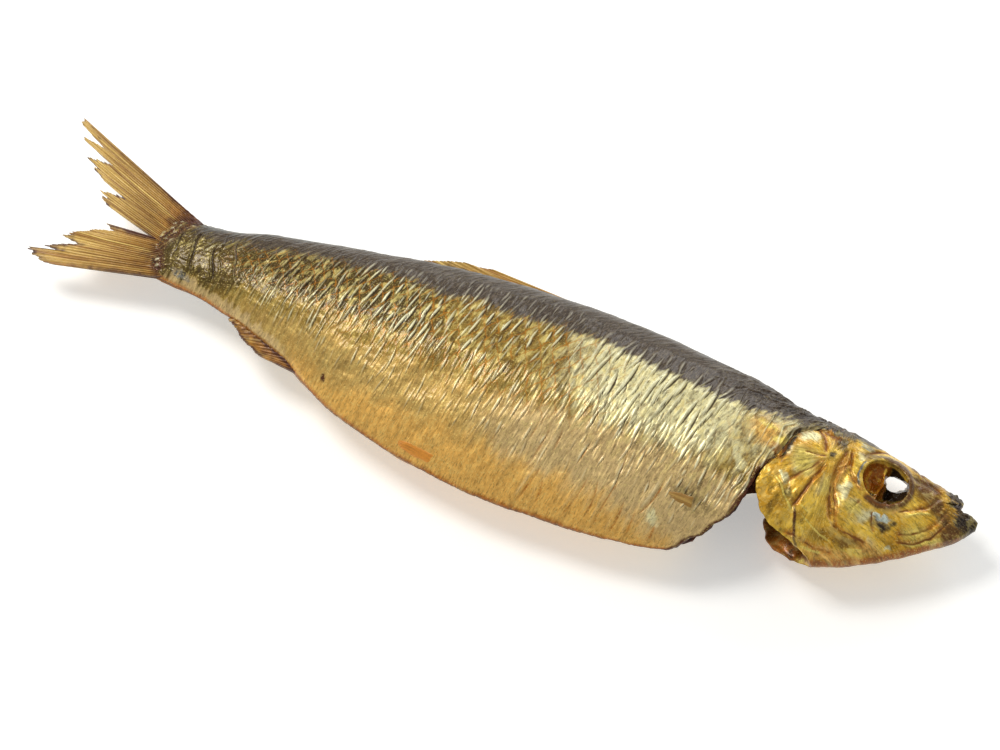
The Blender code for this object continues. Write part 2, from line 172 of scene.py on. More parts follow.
RIDGES = [
    ([(81.1, -7.6), (84.1, -9.8), (86.5, -12.8), (88.5, -14.8), (89.6, -15.5)], 0.3, 0.35, "bright"),
    ([(82.4, -6.0), (84.1, -7.9), (85.3, -9.7)], 0.45, 0.4, "pale"),
    ([(89.6, -13.4), (90.4, -16.5), (91.3, -19.4), (92.8, -22.0), (94.3, -23.7)], 0.45, 0.45, "rust"),
    ([(91.3, -15.2), (95.1, -16.8), (98.2, -18.2), (102.0, -18.6)], 0.22, 0.25, "bright"),
    ([(93.8, -22.5), (97.3, -22.4), (100.5, -21.8)], 0.25, 0.2, "bright"),
    ([(105.8, -19.0), (109.0, -17.8), (110.4, -16.8)], 0.22, 0.25, "bright"),
    ([(90.7, -13.4), (94.0, -14.5)], 0.2, 0.2, "bright"),
    ([(118.1, -5.3), (121.6, -2.5), (124.8, -1.3)], 0.35, 0.3, "bright"),
    ([(117.9, -12.4), (124.1, -9.2), (130.0, -5.1), (133.9, -1.6), (136.0, 1.0)], 0.5, 0.35,
     "bright"),
    ([(98.6, 5.5), (98.9, 2.0), (99.3, -1.0)], 0.5, 0.35, "warm"),
    ([(97.3, -9.4), (99.0, -13.4), (101.8, -16.0)], 0.4, 0.35, "warm"),
    # The blue line is a painted blue-grey sheen on the rim before the eye.
    ([(104.6, -2.6), (103.0, 0.2), (102.9, 3.3), (103.9, 6.3)], 0.35, 0.3, "blue"),
    ([(103.9, 6.3), (106.2, 8.8), (110.4, 10.2), (114.8, 8.6), (117.6, 4.6)], 0.9, 0.3, "brown"),
    ([(105.4, -3.9), (108.0, -5.0), (111.6, -5.1), (115.4, -3.0), (117.6, 0.5)], 0.8, 0.3, "brown"),
]

# Patches of colour on the head and the body, by their mask's name, as (x, y, reach along x,
# reach along y, turn in degrees, strength).
HEAD_PATCHES = {
    "pale": [(86.6, 7.0, 3.8, 2.4, 10, 1.0), (88.0, -1.6, 5.0, 5.0, 0, 0.6),
             (100.6, -6.0, 2.4, 5.0, 0, 0.5), (83.2, 0.4, 1.6, 2.2, 0, 0.6),
             (87.2, -3.6, 2.4, 1.3, 40, 0.9), (90.0, -1.2, 2.2, 1.1, 35, 0.8),
             (84.5, -8.5, 1.2, 1.8, 30, 0.8), (100.9, -4.8, 1.8, 3.4, 0, 0.85),
             (108.0, -9.0, 3.4, 2.4, 20, 0.8), (104.6, -8.0, 2.2, 2.4, 0, 0.7),
             (95.0, -6.5, 1.6, 5.0, -8, 0.5), (102.2, 6.6, 1.6, 1.6, 0, 0.7),
             (111.8, -15.0, 1.2, 0.6, 10, 0.8), (116.7, -14.1, 1.4, 0.6, 30, 0.8),
             (84.3, 11.6, 2.6, 1.2, -10, 0.8), (75.4, 5.4, 4.0, 2.4, 0, 0.75),
             (103.0, 11.0, 2.6, 1.6, -25, 0.6)],
    "warm": [(98.5, 0.6, 1.6, 5.0, 0, 0.8), (86.0, 3.4, 3.6, 2.2, 0, 0.5),
             (77.8, 0.8, 3.0, 3.0, 0, 0.9), (103.1, -21.3, 10.0, 1.8, 12, 0.9),
             (111.9, -16.4, 4.0, 2.0, 20, 0.9), (92.5, -9.6, 2.4, 3.0, 0, 0.35),
             (115.7, -4.6, 1.4, 0.8, 10, 0.9), (102.0, -1.0, 1.2, 2.0, -40, 0.7)],
    "olive": [(87.0, -11.4, 1.6, 2.6, 20, 0.8), (87.1, -14.6, 2.2, 1.6, 0, 0.5),
              (83.6, -15.6, 1.6, 4.0, 0, 0.5), (96.2, -13.4, 3.0, 2.6, 0, 0.4),
              (98.2, -18.2, 6.0, 2.0, 8, 0.5), (118.7, -8.8, 3.0, 1.4, 30, 0.4),
              (97.6, 12.2, 2.0, 1.1, -20, 0.8), (94.4, 2.6, 1.6, 1.6, 0, 0.5)],
    # bright: lighter yellow areas of the gill cover, cheek and jaw, partly painted highlight.
    "bright": [(96.0, -6.0, 2.0, 4.4, 0, 0.6), (88.0, -1.4, 4.0, 4.6, 0, 0.8),
               (122.0, -8.0, 4.8, 1.8, 32, 0.75), (104.4, -8.4, 3.0, 2.2, 0, 0.8),
               (108.0, -18.6, 6.0, 0.8, 14, 0.5)],
    # brown: the first two patches are painted shade on the upper head behind the eye; the others are
    # the brown of the snout, jaw and cheek.
    "brown": [(104.4, 7.4, 3.4, 2.6, -20, 0.7), (96.0, 7.4, 2.8, 2.6, 0, 0.6),
              (131.0, -3.4, 5.0, 3.4, 30, 0.8), (105.6, -17.4, 4.4, 1.7, 12, 0.6),
              (120.6, 6.0, 5.6, 5.0, -30, 0.95), (104.6, -3.4, 2.0, 1.6, -30, 0.5),
              (125.6, 1.6, 3.0, 4.0, 20, 0.8), (89.0, -24.0, 5.0, 2.0, 10, 0.5),
              (117.6, 11.6, 3.0, 2.0, -30, 0.8), (129.0, -1.0, 3.0, 4.0, 30, 0.7)],
    # back: the dark of the back over the crown and snout; the thin patch at x 82.6 is painted shade
    # in the crease behind the gill cover.
    "back": [(94.0, 12.0, 5.0, 2.0, -10, 0.9), (96.4, 9.4, 1.6, 2.2, 0, 0.8),
             (129.8, 8.6, 3.2, 3.6, 0, 1.0), (133.5, 4.0, 3.6, 2.6, 0, 0.9),
             (94.6, 3.8, 0.9, 0.9, 0, 1.0), (82.6, 3.4, 0.9, 6.0, -6, 0.9),
             (88.0, 11.2, 5.0, 0.9, 0, 0.9), (134.6, 1.4, 4.4, 3.6, 0, 1.0)],
    # silver: painted silvery sheen below the eye and high on the head.
    "silver_sheen": [(111.9, -8.0, 2.6, 0.6, 25, 1.0), (103.2, 10.6, 3.0, 1.0, -24, 0.5),
               (86.0, 12.2, 2.6, 0.7, -10, 0.5)],
    # blue: painted blue-grey sheen round the eye and on the upper head.
    "blue": [(110.8, -4.6, 4.4, 0.8, 4, 0.45), (112.6, -8.9, 3.6, 1.6, 25, 0.6),
             (103.4, 10.4, 2.4, 1.2, -20, 0.5), (84.6, 11.8, 2.2, 0.9, 0, 0.5)],
    # dark: painted shade in the hollow below the eye, the gape of the mouth, the hub of the fan and
    # the crease behind the gill cover, and the dark lips at the snout.
    "dark": [(113.4, -9.7, 2.6, 1.5, 25, 0.85), (134.8, 1.6, 3.4, 3.2, 0, 0.95),
             (82.6, 2.4, 0.9, 6.4, -8, 0.9),
             (131.6, 9.4, 3.0, 2.6, -10, 0.85), (129.6, 4.6, 2.0, 1.4, 0, 0.8),
             (115.6, -8.0, 1.2, 0.9, 10, 0.7), (131.5, 5.2, 1.4, 1.6, 0, 0.7),
             (110.6, -10.6, 0.6, 1.8, 20, 0.6), (94.2, 3.2, 0.6, 0.7, 0, 0.9)],
}

BODY_PATCHES = {
    "pale": [(54.5, -8.0, 4.2, 1.5, -35, 1.0), (26.0, -33.0, 2.0, 0.9, 0, 0.8),
             (30.5, -33.4, 1.8, 0.8, 0, 0.8), (54.5, -28.4, 2.6, 1.2, -10, 0.8),
             (82.6, 10.4, 2.6, 0.8, -25, 0.9), (71.0, -6.0, 2.2, 5.0, 8, 0.8)],
    "warm": [(76.0, 3.0, 6.0, 5.0, -30, 0.75), (66.5, -0.5, 1.2, 6.0, 12, 0.35)],
    "orange": [(79.4, -0.6, 2.4, 2.8, 0, 0.55), (77.4, -13.5, 1.0, 5.0, 0, 0.8)],
    # bright: painted highlights on the shoulder.
    "bright": [(80.2, 2.4, 2.6, 1.6, 30, 0.8), (75.4, 5.4, 3.0, 1.4, -10, 0.8)],
    # olive: the patches at x -40 and -13 paint shade over a bright band along the widest height; the
    # others are olive skin.
    "olive": [(62.5, -20.8, 8.4, 2.8, -12, 0.6), (74.0, -12.5, 3.0, 4.0, 0, 0.5),
              (-40.0, -4.0, 13.0, 3.4, -4, 0.25), (-13.0, -4.4, 13.0, 3.4, 0, 0.25),
              (63.5, -18.0, 5.0, 4.6, -12, 0.42), (71.6, 1.0, 2.0, 5.0, 8, 0.4)],
    "rust": [(-45.0, -20.2, 1.3, 0.8, -20, 1.0), (-63.0, 1.5, 0.7, 0.7, 0, 0.9)],
    "blue": [(-94.4, -2.6, 4.0, 1.3, -10, 0.6)],
    "back": [(87.5, 10.4, 5.4, 3.0, -8, 1.0), (84.8, 7.0, 1.6, 2.4, 0, 0.9)],
    # dark: painted shade in the crease behind the gill cover.
    "dark": [(82.6, 2.0, 1.7, 7.4, -8, 1.0)],
}

# Borders of the flank's colour zones, as (x, y).
BACK_BORDER = [(-107, 12.0), (-90, 10.5), (-70, 12.0), (-44, 13.2), (-15, 13.0), (0, 12.4),
               (20, 13.6), (34, 13.4), (46, 11.2), (60, 9.4), (70, 8.6), (82, 10.5), (92, 12.0),
               (104, 12.6), (116, 13.5), (137, 16.0)]
OLIVE_BORDER = [(-107, -4.5), (-88, -4.0), (-60, -2.5), (-40, -2.0), (-20, -3.0), (0, -5.0)]
BEIGE_BORDER = [(-107, -3.0), (-60, -6.5), (-30, -9.0), (0, -9.5), (30, -9.0), (60, -10.0),
                (90, -16.0)]
WARM_BORDER = [(-107, -14.0), (-80, -15.0), (-60, -16.0), (-44, -20.0), (-15, -25.0), (10, -26.5),
               (40, -29.0), (60, -33.0), (90, -34.0)]

# A fin is a fan of straight rays. base: first and last point of its root, turn: the angle of
# the first and last ray above -x in degrees, thick: thickness at root and tip, lift: how high a
# fin that lies on the flank stands off it, rays: how many rays fray, fray: how unevenly they
# end, cords: how many cords stand out, ray: how dark these are, warmth: how orange the membrane
# is, tips: (place across the fan, ray length), stains: dark red-brown spots as (place across,
# place along, reach across, reach along, strength).
TAIL_UPPER = dict(
    base=((-96.2, 15.4), (-102.2, 4.9)), turn=(25.0, 18.2), thick=(2.2, 0.5), rays=58, fray=1.3,
    cords=24, ray=0.9, warmth=0.1, stains=[(0.0, 0.1, 0.08, 0.7, 0.8), (0.5, 0.0, 0.8, 0.22, 1.0),
                        (0.09, 0.86, 0.012, 0.014, 1.0), (0.03, 0.93, 0.012, 0.01, 1.0)],
    tips=[(0.0, 53.2), (0.10, 52.4), (0.155, 40.9), (0.24, 49.2), (0.28, 47.3), (0.315, 34.1),
          (0.50, 42.0), (0.54, 36.4), (0.585, 37.1), (0.65, 31.9), (0.68, 23.8), (0.84, 30.4),
          (0.87, 27.1), (0.926, 28.4), (1.0, 24.5)],
)
TAIL_LOWER = dict(
    base=((-101.1, 7.1), (-95.1, -3.4)), turn=(-0.5, -11.4), thick=(2.2, 0.5), rays=52, fray=1.3,
    cords=21, ray=0.9, warmth=0.2, stains=[(0.0, 0.5, 0.12, 0.7, 0.95), (0.5, 0.0, 0.8, 0.3, 1.0),
                        (1.0, 0.3, 0.08, 0.9, 0.6), (0.72, 1.0, 0.3, 0.12, 0.7)],
    tips=[(0.0, 22.5), (0.11, 20.6), (0.18, 26.0), (0.28, 29.6), (0.34, 30.7), (0.38, 32.2),
          (0.49, 35.5), (0.57, 30.5), (0.70, 40.7), (0.745, 36.6), (0.765, 45.8), (0.825, 44.3),
          (0.88, 43.8), (0.98, 40.8), (1.0, 38.5)],
)
DORSAL = dict(
    base=((23.0, 27.8), (-21.0, 24.4)), turn=(4.9, 9.6), thick=(1.8, 0.7), rays=18, fray=0.5,
    cords=9, ray=0.8, warmth=0.25,
    tips=[(0.0, 36.6), (0.2, 32.2), (0.5, 25.4), (0.8, 18.2), (1.0, 12.6)],
    stains=[(1.0, 0.5, 0.5, 0.5, 0.9), (0.5, 0.2, 0.6, 0.3, 0.6)],
)
ANAL = dict(
    base=((-49.0, -20.3), (-75.0, -8.8)), turn=(8.0, -24.0), thick=(1.8, 0.8), rays=17, fray=0.6,
    cords=14, ray=0.6,
    warmth=0.5, stains=[(0.2, 0.0, 0.9, 0.45, 1.0), (0.0, 0.6, 0.12, 0.8, 0.9),
                        (0.5, 1.0, 0.6, 0.2, 0.8), (0.5, 0.5, 1.0, 1.0, 0.5)],
    tips=[(0.0, 5.0), (0.08, 12.5), (0.3, 10.5), (0.5, 8.6), (0.8, 5.2), (1.0, 3.4)],
)
PELVIC = dict(
    base=((-2.0, -32.2), (-4.0, -34.6)), turn=(10.0, 9.0), thick=(2.0, 1.0), lift=0.4, rays=9,
    cords=6, ray=0.12, fray=0.7, warmth=1.0,
    tips=[(0.0, 15.0), (0.35, 19.5), (0.7, 18.5), (1.0, 14.0)],
    stains=[(0.0, 0.6, 0.1, 0.7, 0.25)],
)
PECTORAL = dict(
    base=((66.5, -20.0), (66.0, -23.6)), turn=(-3.0, 3.0), thick=(2.0, 1.0), lift=0.4, rays=8,
    cords=1, ray=0.0, fray=0.6, warmth=0.1,
    tips=[(0.0, 9.0), (0.35, 12.5), (0.75, 11.0), (1.0, 7.0)],
    stains=[(0.0, 0.6, 0.1, 0.7, 0.15)],
)
ROOT_SINK = 1.2
ROOT_SHARE = 0.35

# The camera: it stands CAMERA_DISTANCE from the middle of the fish and sees FRAME_WIDTH there.
CAMERA_AZIMUTH = math.radians(20.8)
CAMERA_ELEVATION = math.radians(62.0)
CAMERA_DISTANCE = 0.85
FRAME_WIDTH = 0.2775
CAMERA_TARGET_Z = 0.0135
SENSOR_WIDTH = 36.0

# Soft lights, as (name, place, size, colour), the point they face, and the table.
LIGHTS = (("key", (-0.6, 0.2, 0.95), 0.4, (1.0, 0.98, 0.95)),
          ("rim", (0.1, 0.95, 0.5), 0.5, (0.92, 0.96, 1.0)))
LIGHT_TARGET = (0, 0, 0.01)
TABLE_HALF = 3.0
TABLE_DROP = 0.2 * MM

HASH_PRIMES = (0x9E3779B1, 0x85EBCA77, 0xC2B2AE3D)

# The coloured masks of the skin in the order in which they are laid over its ground, each with
# how ragged its edge is, and the names of all masks.
COLOURED = (("beige", 0.4), ("rosy", 0.4), ("olive", 0.4), ("pale", 0.35), ("warm", 0.25),
            ("orange", 0.35), ("bright", 0.3), ("brown", 0.35), ("rust", 0.3), ("back", 0.65),
            ("silver_sheen", 0.5), ("blue", 0.4), ("dark", 0.2))
MASKS = [name for name, _ in COLOURED] + ["flesh", "crest", "groove", "mottled"]

# How strongly the flecks show, how metallic body and head are, and the share of the relief
# that the rows of the throat keep.
FLECKS = 0.4
BODY_METAL = 0.28
HEAD_METAL = 0.36
THROAT_CALM = 0.6


def srgb(red, green, blue):
    """Linear colour of the usual 0 to 255 numbers: ((v + 0.055) / 1.055) to the power 2.4."""
    return tuple(((v / 255 + 0.055) / 1.055) ** 2.4 for v in (red, green, blue))


# Maths that every shape uses

def through(knots, x):
    """Height at x of a smooth curve through the knots: cubic pieces whose slope at a knot is
    the harmonic mean of the slopes on both sides, and 0 at a peak, so it never overshoots."""
    kx, ky = np.array(knots, float).T
    x = np.clip(x, kx[0], kx[-1])
    step = np.diff(kx)
    slope = np.diff(ky) / step
    tangent = np.concatenate([slope[:1], np.zeros(len(kx) - 2), slope[-1:]])
    same = slope[:-1] * slope[1:] > 0
    both = np.where(same, slope[:-1] + slope[1:], 1.0)
    tangent[1:-1] = np.where(same, 2 * slope[:-1] * slope[1:] / both, 0.0)
    i = np.clip(np.searchsorted(kx, x) - 1, 0, len(kx) - 2)
    t = (x - kx[i]) / step[i]
    rise = t * t * (3 - 2 * t)
    return (ky[i] * (1 - rise) + ky[i + 1] * rise
            + step[i] * t * (1 - t) * (tangent[i] * (1 - t) - tangent[i + 1] * t))


def ease(low, high, x):
    """0 at low, 1 at high, and an S-shaped rise 3 t^2 - 2 t^3 between them."""
    t = np.clip((x - low) / (high - low), 0, 1)
    return t * t * (3 - 2 * t)


def bell(x, middle, width):
    """A bell curve of height 1: e to the power -((x - middle) / width)^2."""
    return np.exp(-((x - middle) / width) ** 2)


def random_of(seed, *cells):
    """A fixed random number in 0..1 for each whole-numbered cell: every coordinate is
    multiplied by a large odd number, added in, and scrambled by shifts."""
    mixed = np.full(np.broadcast(*cells).shape, (seed * 7919 + 17) % 2 ** 32, np.uint32)
    for prime, cell in zip(HASH_PRIMES, cells):
        mixed = mixed ^ (np.asarray(cell).astype(np.int64).astype(np.uint32) * np.uint32(prime))
        mixed = (mixed ^ (mixed >> 15)) * np.uint32(0x2C1B3C6D)
        mixed = mixed ^ (mixed >> 12)
    return (mixed & 0xFFFFFF) / 2 ** 24


def noise(seed, *where):
    """Smooth noise in -1..1: random numbers at whole coordinates, blended by S-curves."""
    low = [np.floor(w) for w in where]
    part = [(w - n) ** 2 * (3 - 2 * (w - n)) for w, n in zip(where, low)]
    total = 0
    for corner in itertools.product((0, 1), repeat=len(where)):
        weight = 1
        for side, share in zip(corner, part):
            weight = weight * (share if side else 1 - share)
        total = total + weight * random_of(seed, *[n + side for n, side in zip(low, corner)])
    return 2 * total - 1


def rough(seed, *where, octaves=3):
    """Noise with finer and finer noise added, each of half the size and half the height."""
    return sum(noise(seed + k, *[w * 2 ** k for w in where]) / 2 ** k for k in range(octaves))


def smooth_line(points, count):
    """Catmull-Rom curve through the points, as count points on each span."""
    p = np.array(points, float)
    p = np.concatenate([2 * p[:1] - p[1:2], p, 2 * p[-1:] - p[-2:-1]])
    t = np.linspace(0, 1, count, endpoint=False)[:, None]
    spans = []
    for a, b, c, d in zip(p[:-3], p[1:-2], p[2:-1], p[3:]):
        spans.append(0.5 * (2 * b + (c - a) * t + (2 * a - 5 * b + 4 * c - d) * t ** 2
                            + (3 * b - a - 3 * c + d) * t ** 3))
    return np.concatenate(spans + [p[-2:-1]])


def near_line(x, y, points):
    """Distance of every (x, y) from a smooth line, and how far along the line, 0 to 1."""
    line = smooth_line(points, 4)
    best = np.full(x.shape, 1e9)
    share = np.zeros(x.shape)
    for k, (start, end) in enumerate(zip(line[:-1], line[1:])):
        run = end - start
        t = np.clip(((x - start[0]) * run[0] + (y - start[1]) * run[1]) / (run @ run), 0, 1)
        away = (x - start[0] - t * run[0]) ** 2 + (y - start[1] - t * run[1]) ** 2
        closer = away < best
        best = np.where(closer, away, best)
        share = np.where(closer, (k + t) / (len(line) - 1), share)
    return np.sqrt(best), share


# The tube of skin

def head_relief(x, y):
    """Outward height of the gill cover, cheek, jaw and eye rim: a sum of bell-shaped bumps."""
    height = np.zeros_like(x)
    for cx, cy, rx, ry, rise in HEAD_RELIEF:
        height += rise * bell(x, cx, rx) * bell(y, cy, ry)
    radius, width, rise = EYE_RIM
    return height + rise * bell(np.hypot(x - EYE[0], y - EYE[1]), radius, width)


def section(x, angle):
    """y and z of the skin at x, going round from the back (0) over the right flank.
    Above and below the widest height each quarter is a superellipse |sin|^p by |cos|^p."""
    middle = through(WIDEST_Y, x)
    up = np.cos(angle) >= 0
    reach = np.where(up, through(BACK, x), through(BELLY, x)) - middle
    power = 2 / np.where(up, through(BACK_ROUNDNESS, x), through(BELLY_ROUNDNESS, x))
    y = middle + reach * np.abs(np.cos(angle)) ** power
    out = np.abs(np.sin(angle)) ** power
    z = (through(HALF_WIDTH, x) + head_relief(x, y)) * out
    return y, np.sign(np.sin(angle)) * z


def half_thickness(x, y):
    """Distance of the bare flank from the plane of symmetry at x and y: the superellipse of
    section() solved for z."""
    middle = through(WIDEST_Y, x)
    up = y >= middle
    edge = np.where(up, through(BACK, x), through(BELLY, x))
    power = np.where(up, through(BACK_ROUNDNESS, x), through(BELLY_ROUNDNESS, x))
    share = np.clip((y - middle) / (edge - middle), 0, 0.995)
    return through(HALF_WIDTH, x) * (1 - share ** power) ** (1 / power)


def angles():
    """Angles of the points of a ring, evenly far apart round the deepest section, and closer
    together on the right flank than on the left one."""
    fine = np.linspace(0, 2 * np.pi, 4001)
    y, z = section(np.full_like(fine, 20.0), fine)
    run = np.concatenate([[0], np.cumsum(np.hypot(np.diff(y), np.diff(z)))])
    half = run[len(run) // 2]
    right = np.linspace(0, half, RIGHT_POINTS, endpoint=False)
    left = np.linspace(half, run[-1], LEFT_POINTS, endpoint=False)
    return np.interp(np.concatenate([right, left]), run, fine)


def ring_rows(x_flat, edge, lean, edge_x, follow, angle):
    """Rings of skin points. A ring's x is x_flat, moved by a share, follow, of how far the
    slanted edge, (y, x) knots leaning along z, stands from edge_x at the point's own height."""
    x_flat, follow = x_flat[:, None], follow[:, None]
    x = x_flat + 0 * angle
    for _ in range(20):
        y, z = section(x, angle)
        slant = lean * z * (1 - ease(*LEAN_RANGE, y))
        x = x_flat + follow * (through(edge, y) + slant - edge_x)
    return np.stack([x, y, z], -1)


def throat_rows(body_end, head_start):
    """Rings from the body's cut edge inward through the belly cavity, the neck and the gill
    chamber to the gill cover, as a Catmull-Rom curve through nine rings. Above the cut they
    only cross the crease behind the head."""
    weight = 1 - ease(*CUT_RANGE, body_end[:, 1] - CUT_LEAN * body_end[:, 2])[:, None]
    neck = np.stack([np.full(len(body_end), NECK[0]), np.full(len(body_end), NECK[1]),
                     body_end[:, 2] * NECK[2]], -1)
    back, front = np.array([-CAVITY_DEPTH, 0, 0]), np.array([GILL_DEPTH, 0, 0])
    below = [
        body_end,
        body_end + WALL_SHARE * (neck - body_end),
        body_end + 0.5 * (neck - body_end) + back,
        body_end + 0.85 * (neck - body_end) + 0.5 * back,
        neck,
        head_start + 0.85 * (neck - head_start) + 0.5 * front,
        head_start + 0.5 * (neck - head_start) + front,
        head_start + WALL_SHARE * (neck - head_start),
        head_start,
    ]
    crease = CREASE_DEPTH * (1 - ease(*CREASE_END_Y, body_end[:, 1:2]))
    stations = []
    for k, low in enumerate(below):
        f = k / (len(below) - 1)
        high = body_end * (1 - f) + head_start * f
        high[:, 1:] *= 1 - crease * math.sin(math.pi * f)
        stations.append(high * (1 - weight) + low * weight)
    flat = np.array(stations).reshape(len(stations), -1)
    line = smooth_line(flat, THROAT_RINGS // (len(stations) - 1))
    return line.reshape(len(line), -1, 3), weight[:, 0]


def skin_tube():
    """The whole tube from tail root to snout, as rows of points, with the row of the throat's
    middle and a value that is 1 on rows inside the throat, below the cut."""
    angle = angles()
    u = np.linspace(0, 1, BODY_RINGS)
    body = ring_rows(TAIL_ROOT_X + u * (THROAT_X - TAIL_ROOT_X), BODY_EDGE, BODY_LEAN, THROAT_X,
                     ease(0.68, 1, u), angle)
    v = np.linspace(0, 1, HEAD_RINGS)
    head = ring_rows(GILL_X + (SNOUT_X - GILL_X) * v ** 1.05, HEAD_EDGE, HEAD_LEAN, GILL_X,
                     1 - ease(0, 0.62, v), angle)
    throat, weight = throat_rows(body[-1], head[0])
    inside = np.zeros((len(body) + len(throat) - 2 + len(head), len(angle)))
    inside[len(body):len(body) + len(throat) - 2] = weight
    middle = len(body) - 1 + len(throat) // 2
    return np.concatenate([body, throat[1:-1], head]), inside, middle


def outward(points):
    """Unit normals of rows of rings: the step round a ring crossed with the step along."""
    along = np.gradient(points, axis=0)
    round_it = np.roll(points, -1, 1) - np.roll(points, 1, 1)
    normal = np.cross(round_it, along)
    return normal / np.maximum(np.linalg.norm(normal, axis=2, keepdims=True), 1e-9)


def flow(points):
    """Millimetres round the skin from the ridge of the back to each point, and from there to
    the keel on the same flank."""
    step = np.linalg.norm(np.roll(points, -1, 1) - points, axis=2)
    run = np.cumsum(step, 1) - step
    whole = run[:, -1:] + step[:, -1:]
    keel = run[:, RIGHT_POINTS:RIGHT_POINTS + 1]
    right = np.arange(points.shape[1]) <= RIGHT_POINTS
    return np.where(right, run, whole - run), np.where(right, keel, whole - keel)


def place(points):
    """Fish millimetres to metres above the table, with the sag and the pressed flank."""
    low, high = CAD_BOX
    points = np.array(points, float)
    points[..., 2] += REST_HEIGHT + through(SAG, points[..., 0])
    points[..., 2] = np.maximum(points[..., 2], 0)
    points[..., 0] += high[0] / MM - SNOUT_X
    points[..., 1] += low[1] / MM - BELLY_LOW_Y
    return points * MM


# Relief and colour of the body

def scale_places(x, round_it, girth, sizes):
    """Scale coordinates of the skin: the column along the fish, counted in scales that grow
    from tail to head, and the row, counted in equal shares of the way from back to keel.
    Columns lean forward towards the back."""
    leaned = x + sizes.stroke_lean * (round_it - 0.5 * girth)
    small, large = sizes.scale_small / MM, sizes.scale_large / MM
    growth = (large - small) / (THROAT_X - TAIL_ROOT_X)
    column = np.log(1 + growth * (leaned - TAIL_ROOT_X + 20) / small) / growth
    pitch = small + growth * (leaned - TAIL_ROOT_X + 20)
    return column, sizes.scale_rows * round_it / girth, pitch, girth / sizes.scale_rows


def strokes(seed, column, row, pitch, height, reach, width, least=0.1):
    """Raised strokes, one to a scale and staggered by half a scale from row to row. Each is a
    bell across its width and fades along its length, with a narrow groove on the side of the
    head; place, slant, length, and strength from least to 1 are drawn at random. Returns crest
    and groove."""
    crest = np.zeros_like(column)
    groove = np.zeros_like(column)
    nearest_row = np.floor(row)
    for down in range(-2, 3):
        r = nearest_row + down
        shift = 0.5 * (r % 2)
        nearest = np.floor(column - shift)
        for over in (-1, 0, 1):
            c = nearest + over
            draw = [random_of(seed + k, r, c) for k in range(6)]
            along = (row - r - 0.5 - 0.6 * (draw[0] - 0.5)) * height
            across = (column - c - shift - 0.5 - 0.45 * (draw[1] - 0.5)) * pitch
            across = across + along * 0.26 * (draw[2] - 0.5) + 0.04 * (draw[5] - 0.5) * along ** 2
            length = reach * (0.5 + 0.8 * draw[3])
            fade = 1 - ease(0.1, 1, np.abs(along) / length)
            narrow = width * (0.2 + 0.8 * fade) * (0.7 + 0.6 * draw[0])
            fade = np.sqrt(fade) * (least + (1 - least) * draw[4])
            crest = np.maximum(crest, fade * bell(across, -0.5 * width, narrow))
            groove = np.maximum(groove, fade * bell(across, 1.1 * narrow, 0.5 * narrow))
    return crest, groove


def wrinkles(seed, x, round_it, pitch, wander, reach):
    """Long wrinkles side by side: a wave across them whose phase wanders with noise, each one
    broken into lengths by noise along it. Returns crest and groove, 0 to 1."""
    phase = x / pitch + wander * rough(seed, x / (2.2 * pitch), round_it / (4.0 * pitch), octaves=2)
    number = np.floor(phase)
    part = phase - number
    strength = ease(-0.35, 0.5, noise(seed + 5, number, round_it / reach))
    return strength * bell(part, 0.45, 0.16), strength * bell(part, 0.72, 0.12)


class Flank:
    """Coordinates of the body's skin, and the soft zones that its relief and its colours share.
    far keeps the random draws of the left flank apart from those of the right one."""

    def __init__(self, points, round_it, girth, side, sizes):
        x, y = points[..., 0], points[..., 1]
        self.x, self.y, self.round_it = x, y, round_it
        self.column, self.row, self.pitch, self.height = scale_places(x, round_it, girth, sizes)
        self.share = round_it / girth
        self.edge = girth - round_it
        self.far = side * 40.0
        self.leaned = x + sizes.stroke_lean * round_it
        self.tail = 1 - ease(-88, -70, x)
        self.front = ease(8, 36, x)
        self.on_back = 1 - ease(11, 16, round_it)
        self.throat = (ease(60, 68, x) * ease(12, 18, round_it)
                       * (1 - ease(0.62, 0.8, self.share)))
        self.belly_front = (ease(0.58, 0.7, self.share) * (1 - ease(0.92, 1.0, self.share))
                            * ease(-4, 20, x) * (1 - ease(60, 66, x)))
        ragged_x = x + 1.8 * rough(84, round_it / 3.0, self.far + 0 * x)
        self.root = 1 - ease(-103.5, -99.5, ragged_x - 6 * (1 - ease(3, 11, round_it)))
        self.knob = np.abs(rough(83, x / 2.0, round_it / 2.0, self.far + 0 * x))
        self.hair = rough(51, (x + 0.9 * round_it) / 0.9 + self.far, round_it / 6)
        self.nape = 1 - np.abs(rough(71, (x + 0.9 * round_it) / 3.6 + self.far, round_it / 3.4,
                                     octaves=4))
        self.nape_zone = (ease(50, 72, x) * (1 - ease(13, 19, round_it + 0.12 * (x - 60)))
                          * ease(1.5, 7, round_it))


